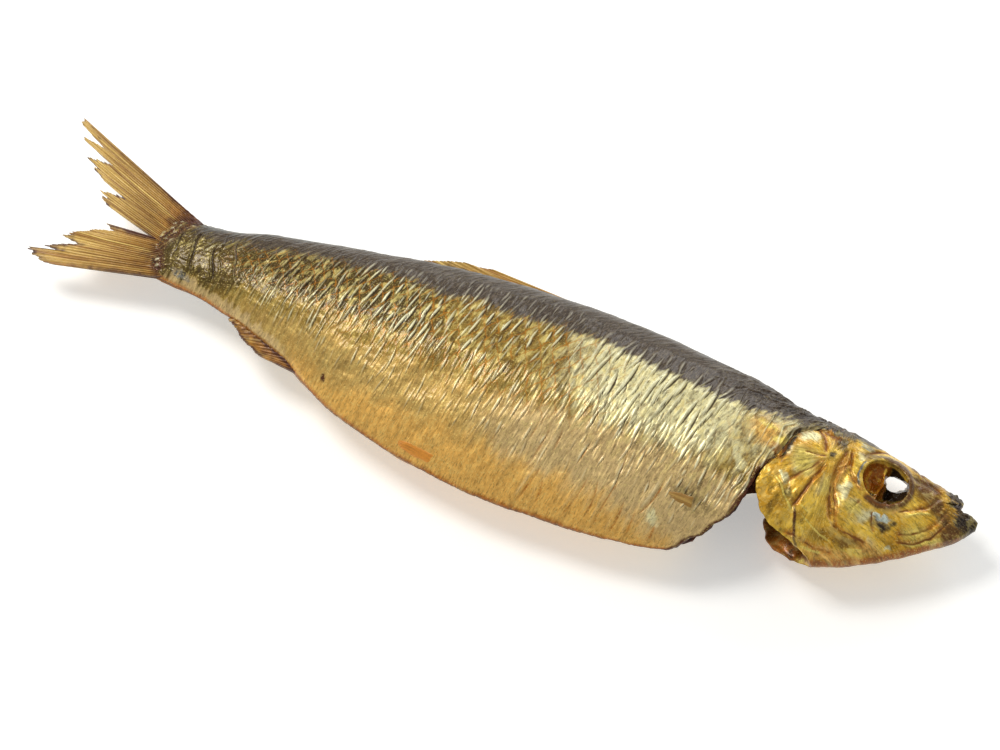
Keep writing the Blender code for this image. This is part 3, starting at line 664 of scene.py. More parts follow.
def stroke_layers(f, sizes):
    """Layers of strokes and wrinkles on a Flank, each as (crest and groove, zone, height, how
    strongly its crest is painted as a highlight, how strongly its groove is painted as shade),
    the belly's diagonals first."""
    stroke, line = sizes.stroke_reach / MM, sizes.stroke_width / MM
    column, row, pitch, height, far = f.column, f.row, f.pitch, f.height, f.far
    x, round_it, share = f.x, f.round_it, f.share
    upper = ease(10, 14, round_it) * (1 - ease(0.5, 0.66, share)) * (1 - f.front) * (1 - f.tail)
    towards_head = ease(-62, -30, x)
    bent = x - 0.025 * np.maximum(round_it - 12, 0) ** 2
    return [
        (strokes(39, column + far, row / 3.5, pitch, 3.5 * height, 3.6 * stroke, 2.0 * line, 0.3),
         f.belly_front, 0.4, 0.35, 0.1),
        (strokes(21, column + far, row, pitch, height, 1.5 * stroke, 0.85 * line, 0.3),
         upper, 1.0, 0.45 + 0.55 * towards_head, 1.0),
        (strokes(25, column + 0.5 + far, row + 0.5, pitch, height, 0.6 * stroke, 0.6 * line, 0.1),
         upper, 0.6, 0.2 + 0.4 * towards_head, 0.8),
        (strokes(27, 1.5 * column + far, row / 2.6, pitch / 1.5, 2.6 * height, 2.9 * stroke,
                 1.25 * line, 0.5),
         ease(13, 18, round_it) * (1 - ease(0.42, 0.6, share)) * f.front * (1 - f.throat),
         0.9, 1.0, 1.0),
        (strokes(29, 2.0 * column + far, row / 1.3 + 0.3, pitch / 2.0, 1.3 * height, 1.1 * stroke,
                 0.8 * line, 0.2),
         ease(0.3, 0.42, share) * (1 - ease(0.56, 0.7, share)) * f.front * (1 - f.throat),
         0.7, 0.9, 0.7),
        (strokes(33, column * 1.6 + far, row / 1.5, pitch / 1.6, 1.5 * height, 1.6 * stroke,
                 0.7 * line, 0.25),
         ease(0.42, 0.55, share) * (1 - ease(0.7, 0.95, share)) * (1 - f.tail), 0.5, 0.65, 0.75),
        (strokes(45, (f.leaned + 0.5 * round_it) / 1.9 + far, round_it / 2.6, 1.9, 2.6, 3.6,
                 0.6 * line), f.on_back * ease(4, 9, round_it), 0.4, 0.4, 0.5),
        (wrinkles(61, bent + far, round_it, 2.3, 0.8, 7.0),
         f.tail * ease(4, 8, round_it) * (1 - ease(0.66, 0.82, share)), 0.9, 0.25, 0.9),
        (wrinkles(67, f.leaned + far, round_it, 1.5, 0.5, 12.0),
         ease(0.62, 0.8, share) * ease(-96, -80, x), 0.15, 0.2, 0.3),
        (wrinkles(73, f.leaned + far, round_it, 1.7, 0.5, 7.0), f.throat, 0.6, 0.5, 0.6),
    ]


def body_rise(f, layers, sizes):
    """Height of the body's skin above the bare tube, in millimetres: the layers of strokes, a
    slow swell, hairs and folds of the back, scutes of the keel, scale pockets, and the knobs
    of the tail root."""
    raised = sum(zone * size * (crest - 0.9 * groove)
                 for (crest, groove), zone, size, _, _ in layers)
    swell = rough(11, f.x / 17 + f.far, f.round_it / 12)
    scute = (f.x / 3.4) % 1
    keel_zone = bell(f.edge, 0, 1.3) * ease(-62, -50, f.x) * (1 - ease(50, 58, f.x))
    pocket = (np.abs(noise(81, f.column + f.far, f.row))
              + 0.6 * np.abs(noise(82, 2 * f.column, 2 * f.row)))
    return (sizes.stroke_height / MM * raised + 0.35 * swell
            + 0.08 * f.hair * f.on_back * ease(1, 6, f.round_it)
            + 0.5 * (ease(0.5, 1, f.nape) - 0.3) * f.nape_zone
            + 0.12 * scute * keel_zone + 0.12 * pocket + 0.5 * (f.knob - 0.3) * f.root)


def body_masks(f, layers):
    """Colour masks of the body: zones between the borders, whose edges waver with streaks of
    noise, a painted blue-grey sheen along the ridge of the back, painted shade between the
    crinkles of the nape and the knobs of the tail root, then the patches, painted highlights on
    the crests and painted shade in the grooves."""
    x, y, round_it, throat, root = f.x, f.y, f.round_it, f.throat, f.root
    crest = np.maximum.reduce([zone * paint * marks[0] for marks, zone, _, paint, _ in layers])
    groove = np.maximum.reduce([zone * paint * marks[1] for marks, zone, _, _, paint in layers])
    diagonals = layers[0][0]
    streaks = rough(92, f.leaned / 1.1, round_it / 7)
    teeth = rough(96, (x + 0.6 * round_it) / 0.8, round_it / 5)
    border = (through(BACK_BORDER, x) + 1.5 * teeth
              + 1.0 * noise(95, f.leaned / 9, f.far + 0 * x))
    olive = ease(-4.5, 4.5, y - through(OLIVE_BORDER, x) + 2.4 * streaks)
    warm = ease(-9, 8, through(WARM_BORDER, x) - y + 2.2 * rough(94, f.leaned / 4.0, round_it / 12))
    low = ease(3, -6, y - through(BEIGE_BORDER, x) + 2.0 * streaks)
    fore = ease(-2, 42, x + 5 * streaks)
    dorsal_side = ease(-18, 0, y + 2.5 * streaks)
    strip = (1 - ease(3.0, 5.5, f.edge + 1.2 * streaks)) * (1 - ease(-66, -52, x))
    hairy = 0.35 * f.on_back * ease(3, 8, round_it)
    masks = {name: np.zeros_like(x) for name in MASKS}
    masks["back"] = ease(-3.0, 2.2, y - border) * (1 - 0.8 * root)
    masks["olive"] = olive * (1 - ease(-42, 2, x + 4 * streaks))
    masks["mottled"] = ((1 - masks["back"]) * (1 - 0.3 * ease(0, 30, x))
                        * (1 - 0.75 * ease(0.42, 0.66, f.share - 0.1 * f.front))
                        * (1 - 0.5 * f.tail))
    masks["rosy"] = np.maximum(low * ease(-16, 24, x), 0.9 * strip)
    masks["beige"] = low
    masks["pale"] = fore * dorsal_side * (1 - 0.5 * ease(64, 70, x))
    masks["warm"] = warm * (1 - strip)
    masks["orange"] = np.maximum.reduce([0.9 * bell(f.edge, 0, 1.6), 0.7 * throat * groove,
                                         0.7 * f.belly_front * diagonals[1]])
    masks["brown"] = 0.7 * bell(f.edge, 0, 0.6)
    masks["rust"] = root
    # Painted blue-grey sheen along the ridge of the back, fading down the flank and towards the head.
    masks["blue"] = (0.6 * (1 - ease(1, 9, round_it + 2 * f.hair)) * (1 - root)
                     * (1 - ease(52, 76, x)))
    # Painted shade in the valleys between the crinkles of the nape and between the knobs of the tail
    # root.
    masks["dark"] = np.maximum(0.7 * ease(0.72, 0.5, f.nape) * f.nape_zone,
                               0.7 * root * ease(0.3, 0.1, f.knob))
    paint_patches(masks, BODY_PATCHES, x + 1.2 * rough(85, x / 3, y / 3),
                  y + 1.2 * rough(86, x / 3, y / 3))
    # Painted highlight on the crests of the strokes, the tops of the tail root's knobs and the raised
    # hairs of the back, and painted shade in the grooves beside them.
    masks["crest"] = np.maximum.reduce([crest, 0.4 * root * ease(0.5, 0.8, f.knob),
                                        hairy * ease(0.2, 0.8, f.hair)])
    masks["groove"] = np.maximum(groove * (1 - 0.6 * throat), hairy * ease(-0.1, -0.6, f.hair))
    masks["lattice"] = (ease(-90, -74, x) * (1 - 0.8 * ease(16, 44, x)) * (1 - masks["back"])
                        * (1 - ease(0.5, 0.75, f.share)))
    return masks


def raise_mask(masks, name, values):
    """Brings a mask up to the values wherever it is lower."""
    masks[name] = np.maximum(masks[name], values)


def paint_patches(masks, patches, x, y):
    """Adds oval patches to the masks, each (x, y, reach along x, reach along y, turn in degrees,
    strength), as e to the power -(a^2 + b^2)^1.4 in the patch's own turned coordinates."""
    for name, ovals in patches.items():
        for cx, cy, rx, ry, turn, strength in ovals:
            c, s = math.cos(math.radians(turn)), math.sin(math.radians(turn))
            a = ((x - cx) * c + (y - cy) * s) / rx
            b = ((y - cy) * c - (x - cx) * s) / ry
            raise_mask(masks, name, strength * np.exp(-(a * a + b * b) ** 1.4))


# Relief and colour of the head

def head_lines(x, y):
    """Height of the head's creases and ridges: the sum of bells across each line, tapering at
    its ends. Returns the height, the creases, their wider halo and the coloured ridges."""
    height = np.zeros_like(x)
    crease = np.zeros_like(x)
    halo = np.zeros_like(x)
    coloured = {}
    wander_x = x + 0.2 * rough(101, x / 2.4, y / 2.4)
    wander_y = y + 0.2 * rough(102, x / 2.4, y / 2.4)
    for points, width, depth in CREASES:
        away, share = near_line(wander_x, wander_y, points)
        taper = ease(-0.06, 0.12, share) * ease(1.06, 0.88, share)
        height -= 0.8 * depth * taper * bell(away, 0, 1.15 * width)
        height += 0.15 * depth * taper * bell(away, 2.6 * width, 1.4 * width)
        crease = np.maximum(crease, taper * bell(away, 0, width))
        halo = np.maximum(halo, taper * bell(away, 0, 3.0 * width))
    for points, width, rise, colour in RIDGES:
        away, share = near_line(wander_x, wander_y, points)
        taper = ease(-0.06, 0.2, share) * ease(1.06, 0.8, share)
        height += rise * taper * bell(away, 0, width)
        mark = taper * bell(away, 0, 1.1 * width)
        coloured[colour] = np.maximum(coloured.get(colour, 0), mark)
    return height, crease, halo, coloured


def fan_place(x, y):
    """Angle round the hub of the gill cover's fan, and distance from it."""
    return np.arctan2(y - FAN_HUB[1], x - FAN_HUB[0]), np.hypot(x - FAN_HUB[0], y - FAN_HUB[1])


def head_height(points):
    """Fine relief of the head in millimetres: creases, ridges, brushed bone and rough lips."""
    x, y = points[..., 0], points[..., 1]
    lines = head_lines(x, y)[0]
    turn, away = fan_place(x, y)
    fan = rough(111, turn * 9, away / 5) * ease(1, 5, away) * (1 - ease(96, 101, x))
    cheek = rough(112, x / 2.4, y / 3.4)
    lips = ease(124, 131, x + 0.3 * y) * ease(-2, 3, y)
    crown = ease(9, 14, y - 0.1 * (100 - x))
    knobs = np.abs(rough(113, x / 1.7, y / 1.7, points[..., 2] / 1.7, octaves=3))
    folds = 1 - np.abs(rough(114, (x + y) / 4.0, (y - 0.6 * x) / 2.6, octaves=3))
    return (lines + 0.16 * fan + 0.14 * cheek + 0.5 * (knobs - 0.3) * lips
            + 0.08 * ease(0.5, 1, folds) * crown * (1 - lips))


def outer_masks(x, y):
    """Colour masks of the head's outer skin: patches, ridges, back, painted shade in the creases and
    lower rim.
    """
    _, crease, halo, coloured = head_lines(x, y)
    masks = {name: np.zeros_like(x) for name in MASKS}
    paint_patches(masks, HEAD_PATCHES, x + 0.8 * rough(121, x / 2.2, y / 2.2),
                  y + 0.8 * rough(122, x / 2.2, y / 2.2))
    for name, mark in coloured.items():
        raise_mask(masks, name, mark)
    border = through(BACK_BORDER, x) + 1.6 * rough(123, x / 2.5, y / 2.5)
    from_keel = y - through(BELLY, x)
    ring = bell(np.hypot(x - EYE[0], y - EYE[1]), 7.2, 1.3) * (0.5 + 0.5 * ease(106, 112, x))
    raise_mask(masks, "back", ease(-1.2, 1.2, y - border))
    masks["orange"] = np.maximum(0.6 * halo, 0.9 * bell(from_keel, 0, 1.4))
    # Painted shade in the head's creases, carried by the groove mask.
    masks["groove"] = crease * (0.25 + 0.4 * ease(-0.5, 0.4, rough(124, x / 3, y / 3)))
    masks["mottled"] = 0.5 * np.ones_like(x)
    raise_mask(masks, "rust", 0.42 * bell(from_keel, 0, 1.6))
    raise_mask(masks, "brown", 0.9 * ring)
    return masks


def head_masks(points):
    """Colour masks of the head from the place alone, so that cut surfaces get theirs too: the
    outer skin's, then the sockets, the mouth, the gill chamber and its far flap."""
    x, y, z = points.T
    masks = outer_masks(x, y)
    depth = half_thickness(x, y) + head_relief(x, y) - np.abs(z)
    socket = ease(7.6, 6.4, np.hypot(x - EYE[0], y - EYE[1])) * ease(0.9, 2.0, depth)
    mouth = ease(128, 131, x) * ease(0.6, 1.2, depth)
    gill = ease(1.0, 2.2, depth) * (1 - ease(96, 100, x)) * (1 - ease(*CUT_RANGE, y))
    far_flap = ease(0, -3, z) * ease(-9, -13, y)
    flap = ease(0, -3, z) * (1 - ease(92, 97, x))
    fold = rough(171, x / 1.4, y / 1.4, z / 1.4)
    left = ease(111.4, 109.8, x)
    lower = ease(1.2, -1.2, y)
    for name in masks:
        masks[name] = masks[name] * (1 - socket)
    masks["flesh"] = np.maximum(gill * (1 - 0.9 * far_flap), 0.85 * mouth)
    raise_mask(masks, "orange", socket * np.clip(left * (0.9 + fold), 0, 1))
    raise_mask(masks, "orange", np.maximum(gill * far_flap, flap))
    raise_mask(masks, "brown", 0.3 * flap)
    # In the socket, brown marks the folds; right of the membrane, brown and dark are painted shade in
    # the deep cavity.
    raise_mask(masks, "brown", socket * (0.6 * (1 - left) + 0.5 * fold))
    raise_mask(masks, "olive", socket * lower)
    raise_mask(masks, "dark", 0.9 * socket * (1 - left) * (1 - lower))
    masks["mottled"] = masks["mottled"] * (1 - masks["flesh"])
    return masks


# Meshes

def grid_faces(rows, columns, closed):
    """Quads of a grid of rows by columns, numbered row by row; closed joins each row's ends."""
    i = np.arange(rows - 1)[:, None]
    j = np.arange(columns if closed else columns - 1)[None]
    k = (j + 1) % columns
    quads = [i * columns + j, i * columns + k, (i + 1) * columns + k, (i + 1) * columns + j]
    return np.stack(np.broadcast_arrays(*quads), -1).reshape(-1, 4)


def new_mesh(name, points, quads, triangles=()):
    """A smooth-shaded mesh object from metres and face arrays, filled by foreach_set."""
    triangles = np.asarray(triangles, np.int32).reshape(-1, 3)
    corners = np.concatenate([quads.ravel(), triangles.ravel()]).astype(np.int32)
    sizes = np.concatenate([np.full(len(quads), 4), np.full(len(triangles), 3)])
    mesh = bpy.data.meshes.new(name)
    mesh.vertices.add(len(points))
    mesh.vertices.foreach_set("co", np.asarray(points, np.float32).ravel())
    mesh.loops.add(len(corners))
    mesh.loops.foreach_set("vertex_index", corners)
    mesh.polygons.add(len(sizes))
    mesh.polygons.foreach_set("loop_start", (np.cumsum(sizes) - sizes).astype(np.int32))
    mesh.update(calc_edges=True)
    if mesh.validate():
        raise RuntimeError("bad faces in " + name)
    mesh.shade_smooth()
    made = bpy.data.objects.new(name, mesh)
    bpy.context.scene.collection.objects.link(made)
    return made


def tube_mesh(name, rows, normals=None):
    """A closed mesh from rings of points, each end shut by a fan round its own middle. Normals,
    where given, keep the shading smooth from one piece of a tube to the next."""
    count, around = rows.shape[:2]
    points = np.concatenate([rows.reshape(-1, 3), rows[:1].mean(1), rows[-1:].mean(1)])
    j = np.arange(around)
    k = (j + 1) % around
    first, last = count * around, count * around + 1
    start = np.stack([np.full(around, first), k, j], -1)
    end = np.stack([np.full(around, last), (count - 1) * around + j, (count - 1) * around + k], -1)
    made = new_mesh(name, points, grid_faces(count, around, True), np.concatenate([start, end]))
    if normals is not None:
        ends = np.array([[-1.0, 0, 0], [1.0, 0, 0]])
        made.data.normals_split_custom_set_from_vertices(
            np.concatenate([normals.reshape(-1, 3), ends]).tolist())
    return made


def plate_mesh(name, front, back):
    """A closed plate from two grids of points, joined along their rim."""
    rows, columns = front.shape[:2]
    points = np.concatenate([front.reshape(-1, 3), back.reshape(-1, 3)])
    faces = grid_faces(rows, columns, False)
    index = np.arange(rows * columns).reshape(rows, columns)
    rim = np.concatenate([index[:-1, 0], index[-1, :-1], index[:0:-1, -1], index[0, :0:-1]])
    after = np.roll(rim, -1)
    side = np.stack([rim, after, after + rows * columns, rim + rows * columns], -1)
    return new_mesh(name, points, np.concatenate([faces, faces[:, ::-1] + rows * columns,
                                                  side[:, ::-1]]))


def set_mask(obj, name, values):
    """Stores one number for each vertex, for the material to read."""
    layer = obj.data.attributes.new(name, "FLOAT", "POINT")
    layer.data.foreach_set("value", np.asarray(values, np.float32).ravel())


def set_vector(obj, name, values):
    """Stores one vector for each vertex, for the material to read."""
    layer = obj.data.attributes.new(name, "FLOAT_VECTOR", "POINT")
    layer.data.foreach_set("vector", np.asarray(values, np.float32).ravel())


def fish_points(obj):
    """Vertices of a finished piece, back in the fish's own millimetres."""
    low, high = CAD_BOX
    co = np.zeros(len(obj.data.vertices) * 3, np.float32)
    obj.data.vertices.foreach_get("co", co)
    points = co.reshape(-1, 3).astype(float) / MM
    points[:, 0] -= high[0] / MM - SNOUT_X
    points[:, 1] -= low[1] / MM - BELLY_LOW_Y
    points[:, 2] -= REST_HEIGHT + through(SAG, points[:, 0])
    return points


def carve(obj, cutters):
    """Cuts the cutters out of a piece and removes them."""
    for cutter in cutters:
        step = obj.modifiers.new("carve", "BOOLEAN")
        step.object = cutter
        step.operation = "DIFFERENCE"
        step.solver = "MANIFOLD"
    bpy.context.view_layer.update()
    graph = bpy.context.evaluated_depsgraph_get()
    mesh = bpy.data.meshes.new_from_object(obj.evaluated_get(graph))
    obj.modifiers.clear()
    obj.data = mesh
    for cutter in cutters:
        bpy.data.objects.remove(cutter)


def ride_in_place(obj, material):
    """Gives a piece its material and binds it to the fish it stands for."""
    obj.data.materials.clear()
    obj.data.materials.append(material)
    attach(obj, "root")
    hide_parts(NODE)


# Materials

class Graph:
    """Adds nodes to a tree. An input is given as a number, a colour or another node's socket.
    add() and group() return the node, the others its output."""

    def __init__(self, tree):
        self.tree = tree

    def feed(self, socket, value):
        if isinstance(value, bpy.types.NodeSocket):
            self.tree.links.new(value, socket)
        else:
            socket.default_value = value

    def add(self, kind, inputs=None, **settings):
        node = self.tree.nodes.new("ShaderNode" + kind)
        for name, value in settings.items():
            setattr(node, name, value)
        for key, value in (inputs or {}).items():
            self.feed(node.inputs[key], value)
        return node

    def math(self, operation, *values, clamp=False):
        inputs = dict(enumerate(values))
        return self.add("Math", inputs, operation=operation, use_clamp=clamp).outputs[0]

    def times(self, a, b):
        return self.math("MULTIPLY", a, b)

    def plus(self, a, b):
        return self.math("ADD", a, b)

    def minus(self, a, b):
        return self.math("SUBTRACT", a, b)

    def greater(self, a, b):
        return self.math("MAXIMUM", a, b)

    def mix(self, share, a, b, blend="MIX"):
        node = self.add("Mix", {0: share, 6: a, 7: b}, data_type="RGBA", blend_type=blend)
        return node.outputs[2]

    def mask(self, name):
        return self.add("Attribute", attribute_name=name).outputs["Fac"]

    def ramp(self, value, low, high):
        node = self.add("MapRange", {0: value, 1: low, 2: high}, interpolation_type="SMOOTHSTEP")
        return node.outputs[0]

    def noise(self, vector, scale, detail=3.0, distortion=0.0):
        node = self.add("TexNoise", {"Vector": vector, "Scale": scale, "Detail": detail,
                                     "Distortion": distortion})
        return node.outputs[0]

    def stretched(self, vector, scale):
        node = self.add("Mapping", {"Vector": vector, "Scale": scale})
        return node.outputs[0]

    def group(self, tree, inputs):
        node = self.tree.nodes.new("ShaderNodeGroup")
        node.node_tree = tree
        for key, value in inputs.items():
            self.feed(node.inputs[key], value)
        return node


def new_group(name, inputs, outputs):
    """An empty node group with the named sockets, each (name, kind, default)."""
    tree = bpy.data.node_groups.new(name, "ShaderNodeTree")
    for label, kind, value in inputs:
        socket = tree.interface.new_socket(label, in_out="INPUT", socket_type="NodeSocket" + kind)
        if value is not None:
            socket.default_value = value
    for label, kind in outputs:
        tree.interface.new_socket(label, in_out="OUTPUT", socket_type="NodeSocket" + kind)
    graph = Graph(tree)
    source = tree.nodes.new("NodeGroupInput")
    sink = tree.nodes.new("NodeGroupOutput")
    return tree, graph, source.outputs, sink.inputs


def ragged_edge_group():
    """Turns a soft mask into one with a ragged edge: noise is added before an S-curve."""
    tree, g, given, out = new_group(
        "ragged edge",
        [("Mask", "Float", 0.0), ("Place", "Vector", None), ("Size", "Float", 400.0),
         ("Raggedness", "Float", 0.5)],
        [("Mask", "Float")])
    grain = g.noise(given["Place"], given["Size"], 4.0)
    push = g.times(g.minus(grain, 0.5), given["Raggedness"])
    shaken = g.plus(given["Mask"], g.times(push, 2.0))
    g.feed(out["Mask"], g.times(g.ramp(shaken, 0.15, 0.85), g.ramp(given["Mask"], 0.0, 0.12)))
    return tree


def grain_group():
    """Fine grain of smoked skin: two sizes of noise, as a tint round 1 and a height."""
    tree, g, given, out = new_group(
        "skin grain",
        [("Place", "Vector", None), ("Size", "Float", 900.0), ("Amount", "Float", 0.3)],
        [("Tint", "Float"), ("Height", "Float")])
    coarse = g.noise(given["Place"], given["Size"], 5.0, 0.3)
    finer = g.noise(given["Place"], g.times(given["Size"], 3.3), 2.0)
    both = g.plus(g.times(coarse, 0.6), g.times(finer, 0.4))
    swing = g.times(g.minus(both, 0.5), given["Amount"])
    g.feed(out["Tint"], g.plus(g.times(swing, 2.0), 1.0))
    g.feed(out["Height"], both)
    return tree


def scale_lines_group():
    """Thin crossing lines round the scale pockets: the two diagonals of the scale coordinates,
    made to wander by noise, and drawn where their phase is halfway between whole numbers."""
    tree, g, given, out = new_group(
        "scale lines",
        [("Scales", "Vector", None), ("Wander", "Float", 0.2), ("Width", "Float", 0.085)],
        [("Lines", "Float")])
    apart = g.add("SeparateXYZ", {0: given["Scales"]}).outputs
    lines = []
    for sign in (0.5, -0.5):
        noise_place = g.stretched(given["Scales"], (1.0, 0.6, 1.0 + sign))
        sway = g.times(g.minus(g.noise(noise_place, 1.3, 4.0), 0.5), g.times(given["Wander"], 4.0))
        phase = g.plus(g.plus(apart[0], g.times(apart[1], sign)), sway)
        off = g.math("ABSOLUTE", g.minus(g.math("FRACT", phase), 0.5))
        near = g.math("SUBTRACT", 1.0, g.math("DIVIDE", off, given["Width"]), clamp=True)
        lines.append(g.times(near, g.ramp(g.noise(noise_place, 1.1, 2.0), 0.34, 0.5)))
    g.feed(out["Lines"], g.greater(*lines))
    return tree


def fish_groups():
    """The shared node groups, built once."""
    makers = {"ragged edge": ragged_edge_group, "skin grain": grain_group,
              "scale lines": scale_lines_group}
    for name, maker in makers.items():
        if name not in bpy.data.node_groups:
            maker()
    return {name: bpy.data.node_groups[name] for name in makers}


def start_material(name):
    """A material with only a Principled shader and its output, and a graph to add to it."""
    made = bpy.data.materials.new(name)
    made.use_nodes = True
    tree = made.node_tree
    shader = tree.nodes["Principled BSDF"]
    return made, Graph(tree), shader


def full(colour):
    """A colour property with its alpha, as a socket wants it."""
    return (*colour, 1.0)


def tinted(g, colour, tint):
    """The colour times a grey of the tint's value."""
    grey = g.add("CombineColor", {0: tint, 1: tint, 2: tint}).outputs[0]
    return g.mix(1.0, colour, grey, "MULTIPLY")


def mask_colours(g, groups, look, place_at, colour):
    """Lays the colour of each coloured mask over the one below, with a ragged edge whose noise
    is a little finer each time."""
    size = 0.8
    for mask, raggedness in COLOURED:
        edge = g.group(groups["ragged edge"], {"Mask": g.mask(mask), "Place": place_at,
                                               "Size": size, "Raggedness": raggedness})
        colour = g.mix(edge.outputs[0], colour, full(getattr(look, mask)))
        size += 0.07
    return colour


def smoked_skin(look, name, metal, has_scales):
    """Gilded skin: a gold ground with the colours of the masks laid over it in order, painted
    sheen and shade among them, fine streaks and grain, painted sparkle in the light flecks,
    orange lines round the scales, painted shade in the grooves and painted highlights on the
    crests."""
    grounds = (look.gold, look.amber) if has_scales else (look.head, look.head_amber)
    made, g, shader = start_material(name)
    groups = fish_groups()
    place_at = g.add("TexCoord").outputs["Object"]
    streaked = g.add("Attribute", attribute_name="streak").outputs["Vector"]
    grain = g.group(groups["skin grain"], {"Place": place_at, "Size": 1100.0, "Amount": 0.42})
    streak = g.noise(g.stretched(streaked, (1.0, 0.13, 1.0)), 1.15, 4.0, 0.4)
    fibre = g.noise(g.stretched(streaked, (1.0, 0.24, 1.0)), 2.6, 5.0, 0.5)
    fleck = g.noise(place_at, 2300.0, 3.0)
    broad = g.noise(place_at, 110.0, 3.0)
    mottle = g.noise(g.stretched(streaked, (1.0, 0.5, 1.0)), 0.62, 6.0, 0.7)
    on_back, dark, brown, flesh = (g.mask(mask) for mask in ("back", "dark", "brown", "flesh"))
    mottled = g.mask("mottled")
    colour = g.mix(g.ramp(broad, 0.35, 0.65), full(grounds[0]), full(grounds[1]))
    colour = mask_colours(g, groups, look, g.stretched(streaked, (1.0, 0.22, 1.0)), colour)

    # Mottling, the hairs of the back, dark flecks, and light flecks that paint sparkle elsewhere
    plain_skin = g.greater(g.greater(g.times(on_back, 0.8), dark), g.times(brown, 0.7))
    flecked = g.times(g.minus(1.0, plain_skin), FLECKS)
    hairs = g.times(on_back, 0.38)
    for share, over in (
            (g.times(g.ramp(mottle, 0.5, 0.36), g.times(mottled, 0.75)), look.fleck),
            (g.times(g.ramp(mottle, 0.5, 0.64), g.times(mottled, 0.6)), look.glint),
            (g.times(g.ramp(fibre, 0.5, 0.4), hairs), look.dark),
            (g.times(g.ramp(fibre, 0.52, 0.62), hairs), look.back_crest),
            (g.times(g.ramp(fibre, 0.53, 0.64), flecked), look.fleck),
            (g.times(g.ramp(fleck, 0.57, 0.66), flecked), look.glint)):
        colour = g.mix(share, colour, full(over))

    # Lines round the scales, painted highlights on the crests and painted shade in the grooves
    if has_scales:
        scales = g.add("Attribute", attribute_name="scales").outputs["Vector"]
        lines = g.group(groups["scale lines"], {"Scales": scales}).outputs[0]
        colour = g.mix(g.times(lines, g.times(g.mask("lattice"), 0.85)), colour, full(look.line))
    highlight_colour = g.mix(g.times(on_back, 0.85), full(look.crest), full(look.back_crest))
    groove_shade_colour = full(look.groove if has_scales else look.crease)
    # Painted highlight on the crests, then painted shade in the grooves of the body and the creases
    # of the head.
    colour = g.mix(g.times(g.ramp(g.mask("crest"), 0.15, 0.75), 0.85), colour, highlight_colour)
    colour = g.mix(g.times(g.ramp(g.mask("groove"), 0.2, 0.6), 0.9), colour, groove_shade_colour)
    streak_tint = g.add("MapRange", {0: streak, 1: 0.25, 2: 0.75, 3: 0.76, 4: 1.24}).outputs[0]
    colour = tinted(g, colour, g.times(grain.outputs["Tint"], streak_tint))
    raw = g.mix(g.ramp(g.noise(place_at, 500.0, 4.0), 0.4, 0.65), full(look.flesh),
                full(look.flesh_dark))
    colour = g.mix(flesh, colour, raw)

    # Gloss: dull where flesh, dark, brown or back shows, and rougher with the grain
    dull = g.greater(g.greater(flesh, g.times(dark, 0.8)), g.times(brown, 0.6))
    shine = g.minus(1.0, g.greater(dull, g.times(on_back, 0.35)))
    roughness = g.plus(g.times(grain.outputs["Height"], 0.22), 0.27)
    heights = g.plus(g.times(grain.outputs["Height"], 0.6), g.times(streak, 0.8))
    bump = g.add("Bump", {"Height": heights, "Distance": 0.00012, "Strength": 0.55})
    g.feed(shader.inputs["Base Color"], colour)
    g.feed(shader.inputs["Metallic"], g.math("MULTIPLY", shine, metal, clamp=True))
    g.feed(shader.inputs["Roughness"], g.plus(roughness, g.times(on_back, 0.06)))
    g.feed(shader.inputs["Normal"], bump.outputs[0])
    shader.inputs["Coat Weight"].default_value = 0.3
    shader.inputs["Coat Roughness"].default_value = 0.14
    shader.inputs["Specular IOR Level"].default_value = 0.15
    return made


def smoked_fin(look):
    """Dried fin membrane: amber with darker rays, some bright ones, and burnt tips and root."""
    made, g, shader = start_material("smoked_fin")
    groups = fish_groups()
    place_at = g.add("TexCoord").outputs["Object"]
    streaked = g.add("Attribute", attribute_name="streak").outputs["Vector"]
    fibre = g.noise(g.stretched(streaked, (1.0, 0.06, 1.0)), 2.2, 3.0)
    cloud = g.noise(g.stretched(streaked, (0.3, 0.035, 1.0)), 1.2, 4.0)
    grain = g.group(groups["skin grain"], {"Place": place_at, "Size": 900.0, "Amount": 0.35})
    colour = g.mix(g.ramp(cloud, 0.35, 0.65), full(look.fin), full(look.fin_light))
    colour = g.mix(g.mask("warmth"), colour, full(look.fin_orange))
    colour = g.mix(g.times(g.ramp(fibre, 0.5, 0.68), 0.35), colour, full(look.fin_ray))
    colour = g.mix(g.mask("ray"), colour, full(look.fin_ray))
    colour = g.mix(g.times(g.mask("bright"), g.ramp(cloud, 0.4, 0.55)), colour,
                   full(look.fin_bright))
    burnt = g.group(groups["ragged edge"], {"Mask": g.mask("burnt"), "Place": place_at,
                                            "Size": 420.0, "Raggedness": 0.5})
    colour = g.mix(burnt.outputs[0], colour, full(look.rust))
    colour = g.mix(g.mask("dark"), colour, full(look.dark))
    colour = tinted(g, colour, grain.outputs["Tint"])
    bump = g.add("Bump", {"Height": fibre, "Distance": 0.0002, "Strength": 0.5})
    g.feed(shader.inputs["Base Color"], colour)
    g.feed(shader.inputs["Normal"], bump.outputs[0])
    shader.inputs["Roughness"].default_value = 0.42
    shader.inputs["Metallic"].default_value = 0.15
    shader.inputs["Coat Weight"].default_value = 0.15
    shader.inputs["Coat Roughness"].default_value = 0.2
    return made


def table_top(stage):
    """Plain pale floor, a little lit from below like a light table, with a trace of grain."""
    made, g, shader = start_material("pale_table")
    place_at = g.add("TexCoord").outputs["Object"]
    cloud = g.noise(place_at, 14.0, 3.0)
    paler = tuple(0.96 * c for c in stage.floor)
    colour = g.mix(cloud, full(stage.floor), full(paler))
    g.feed(shader.inputs["Base Color"], colour)
    g.feed(shader.inputs["Emission Color"], colour)
    shader.inputs["Emission Strength"].default_value = stage.glow
    shader.inputs["Roughness"].default_value = 0.7
    return made


# What a user would change

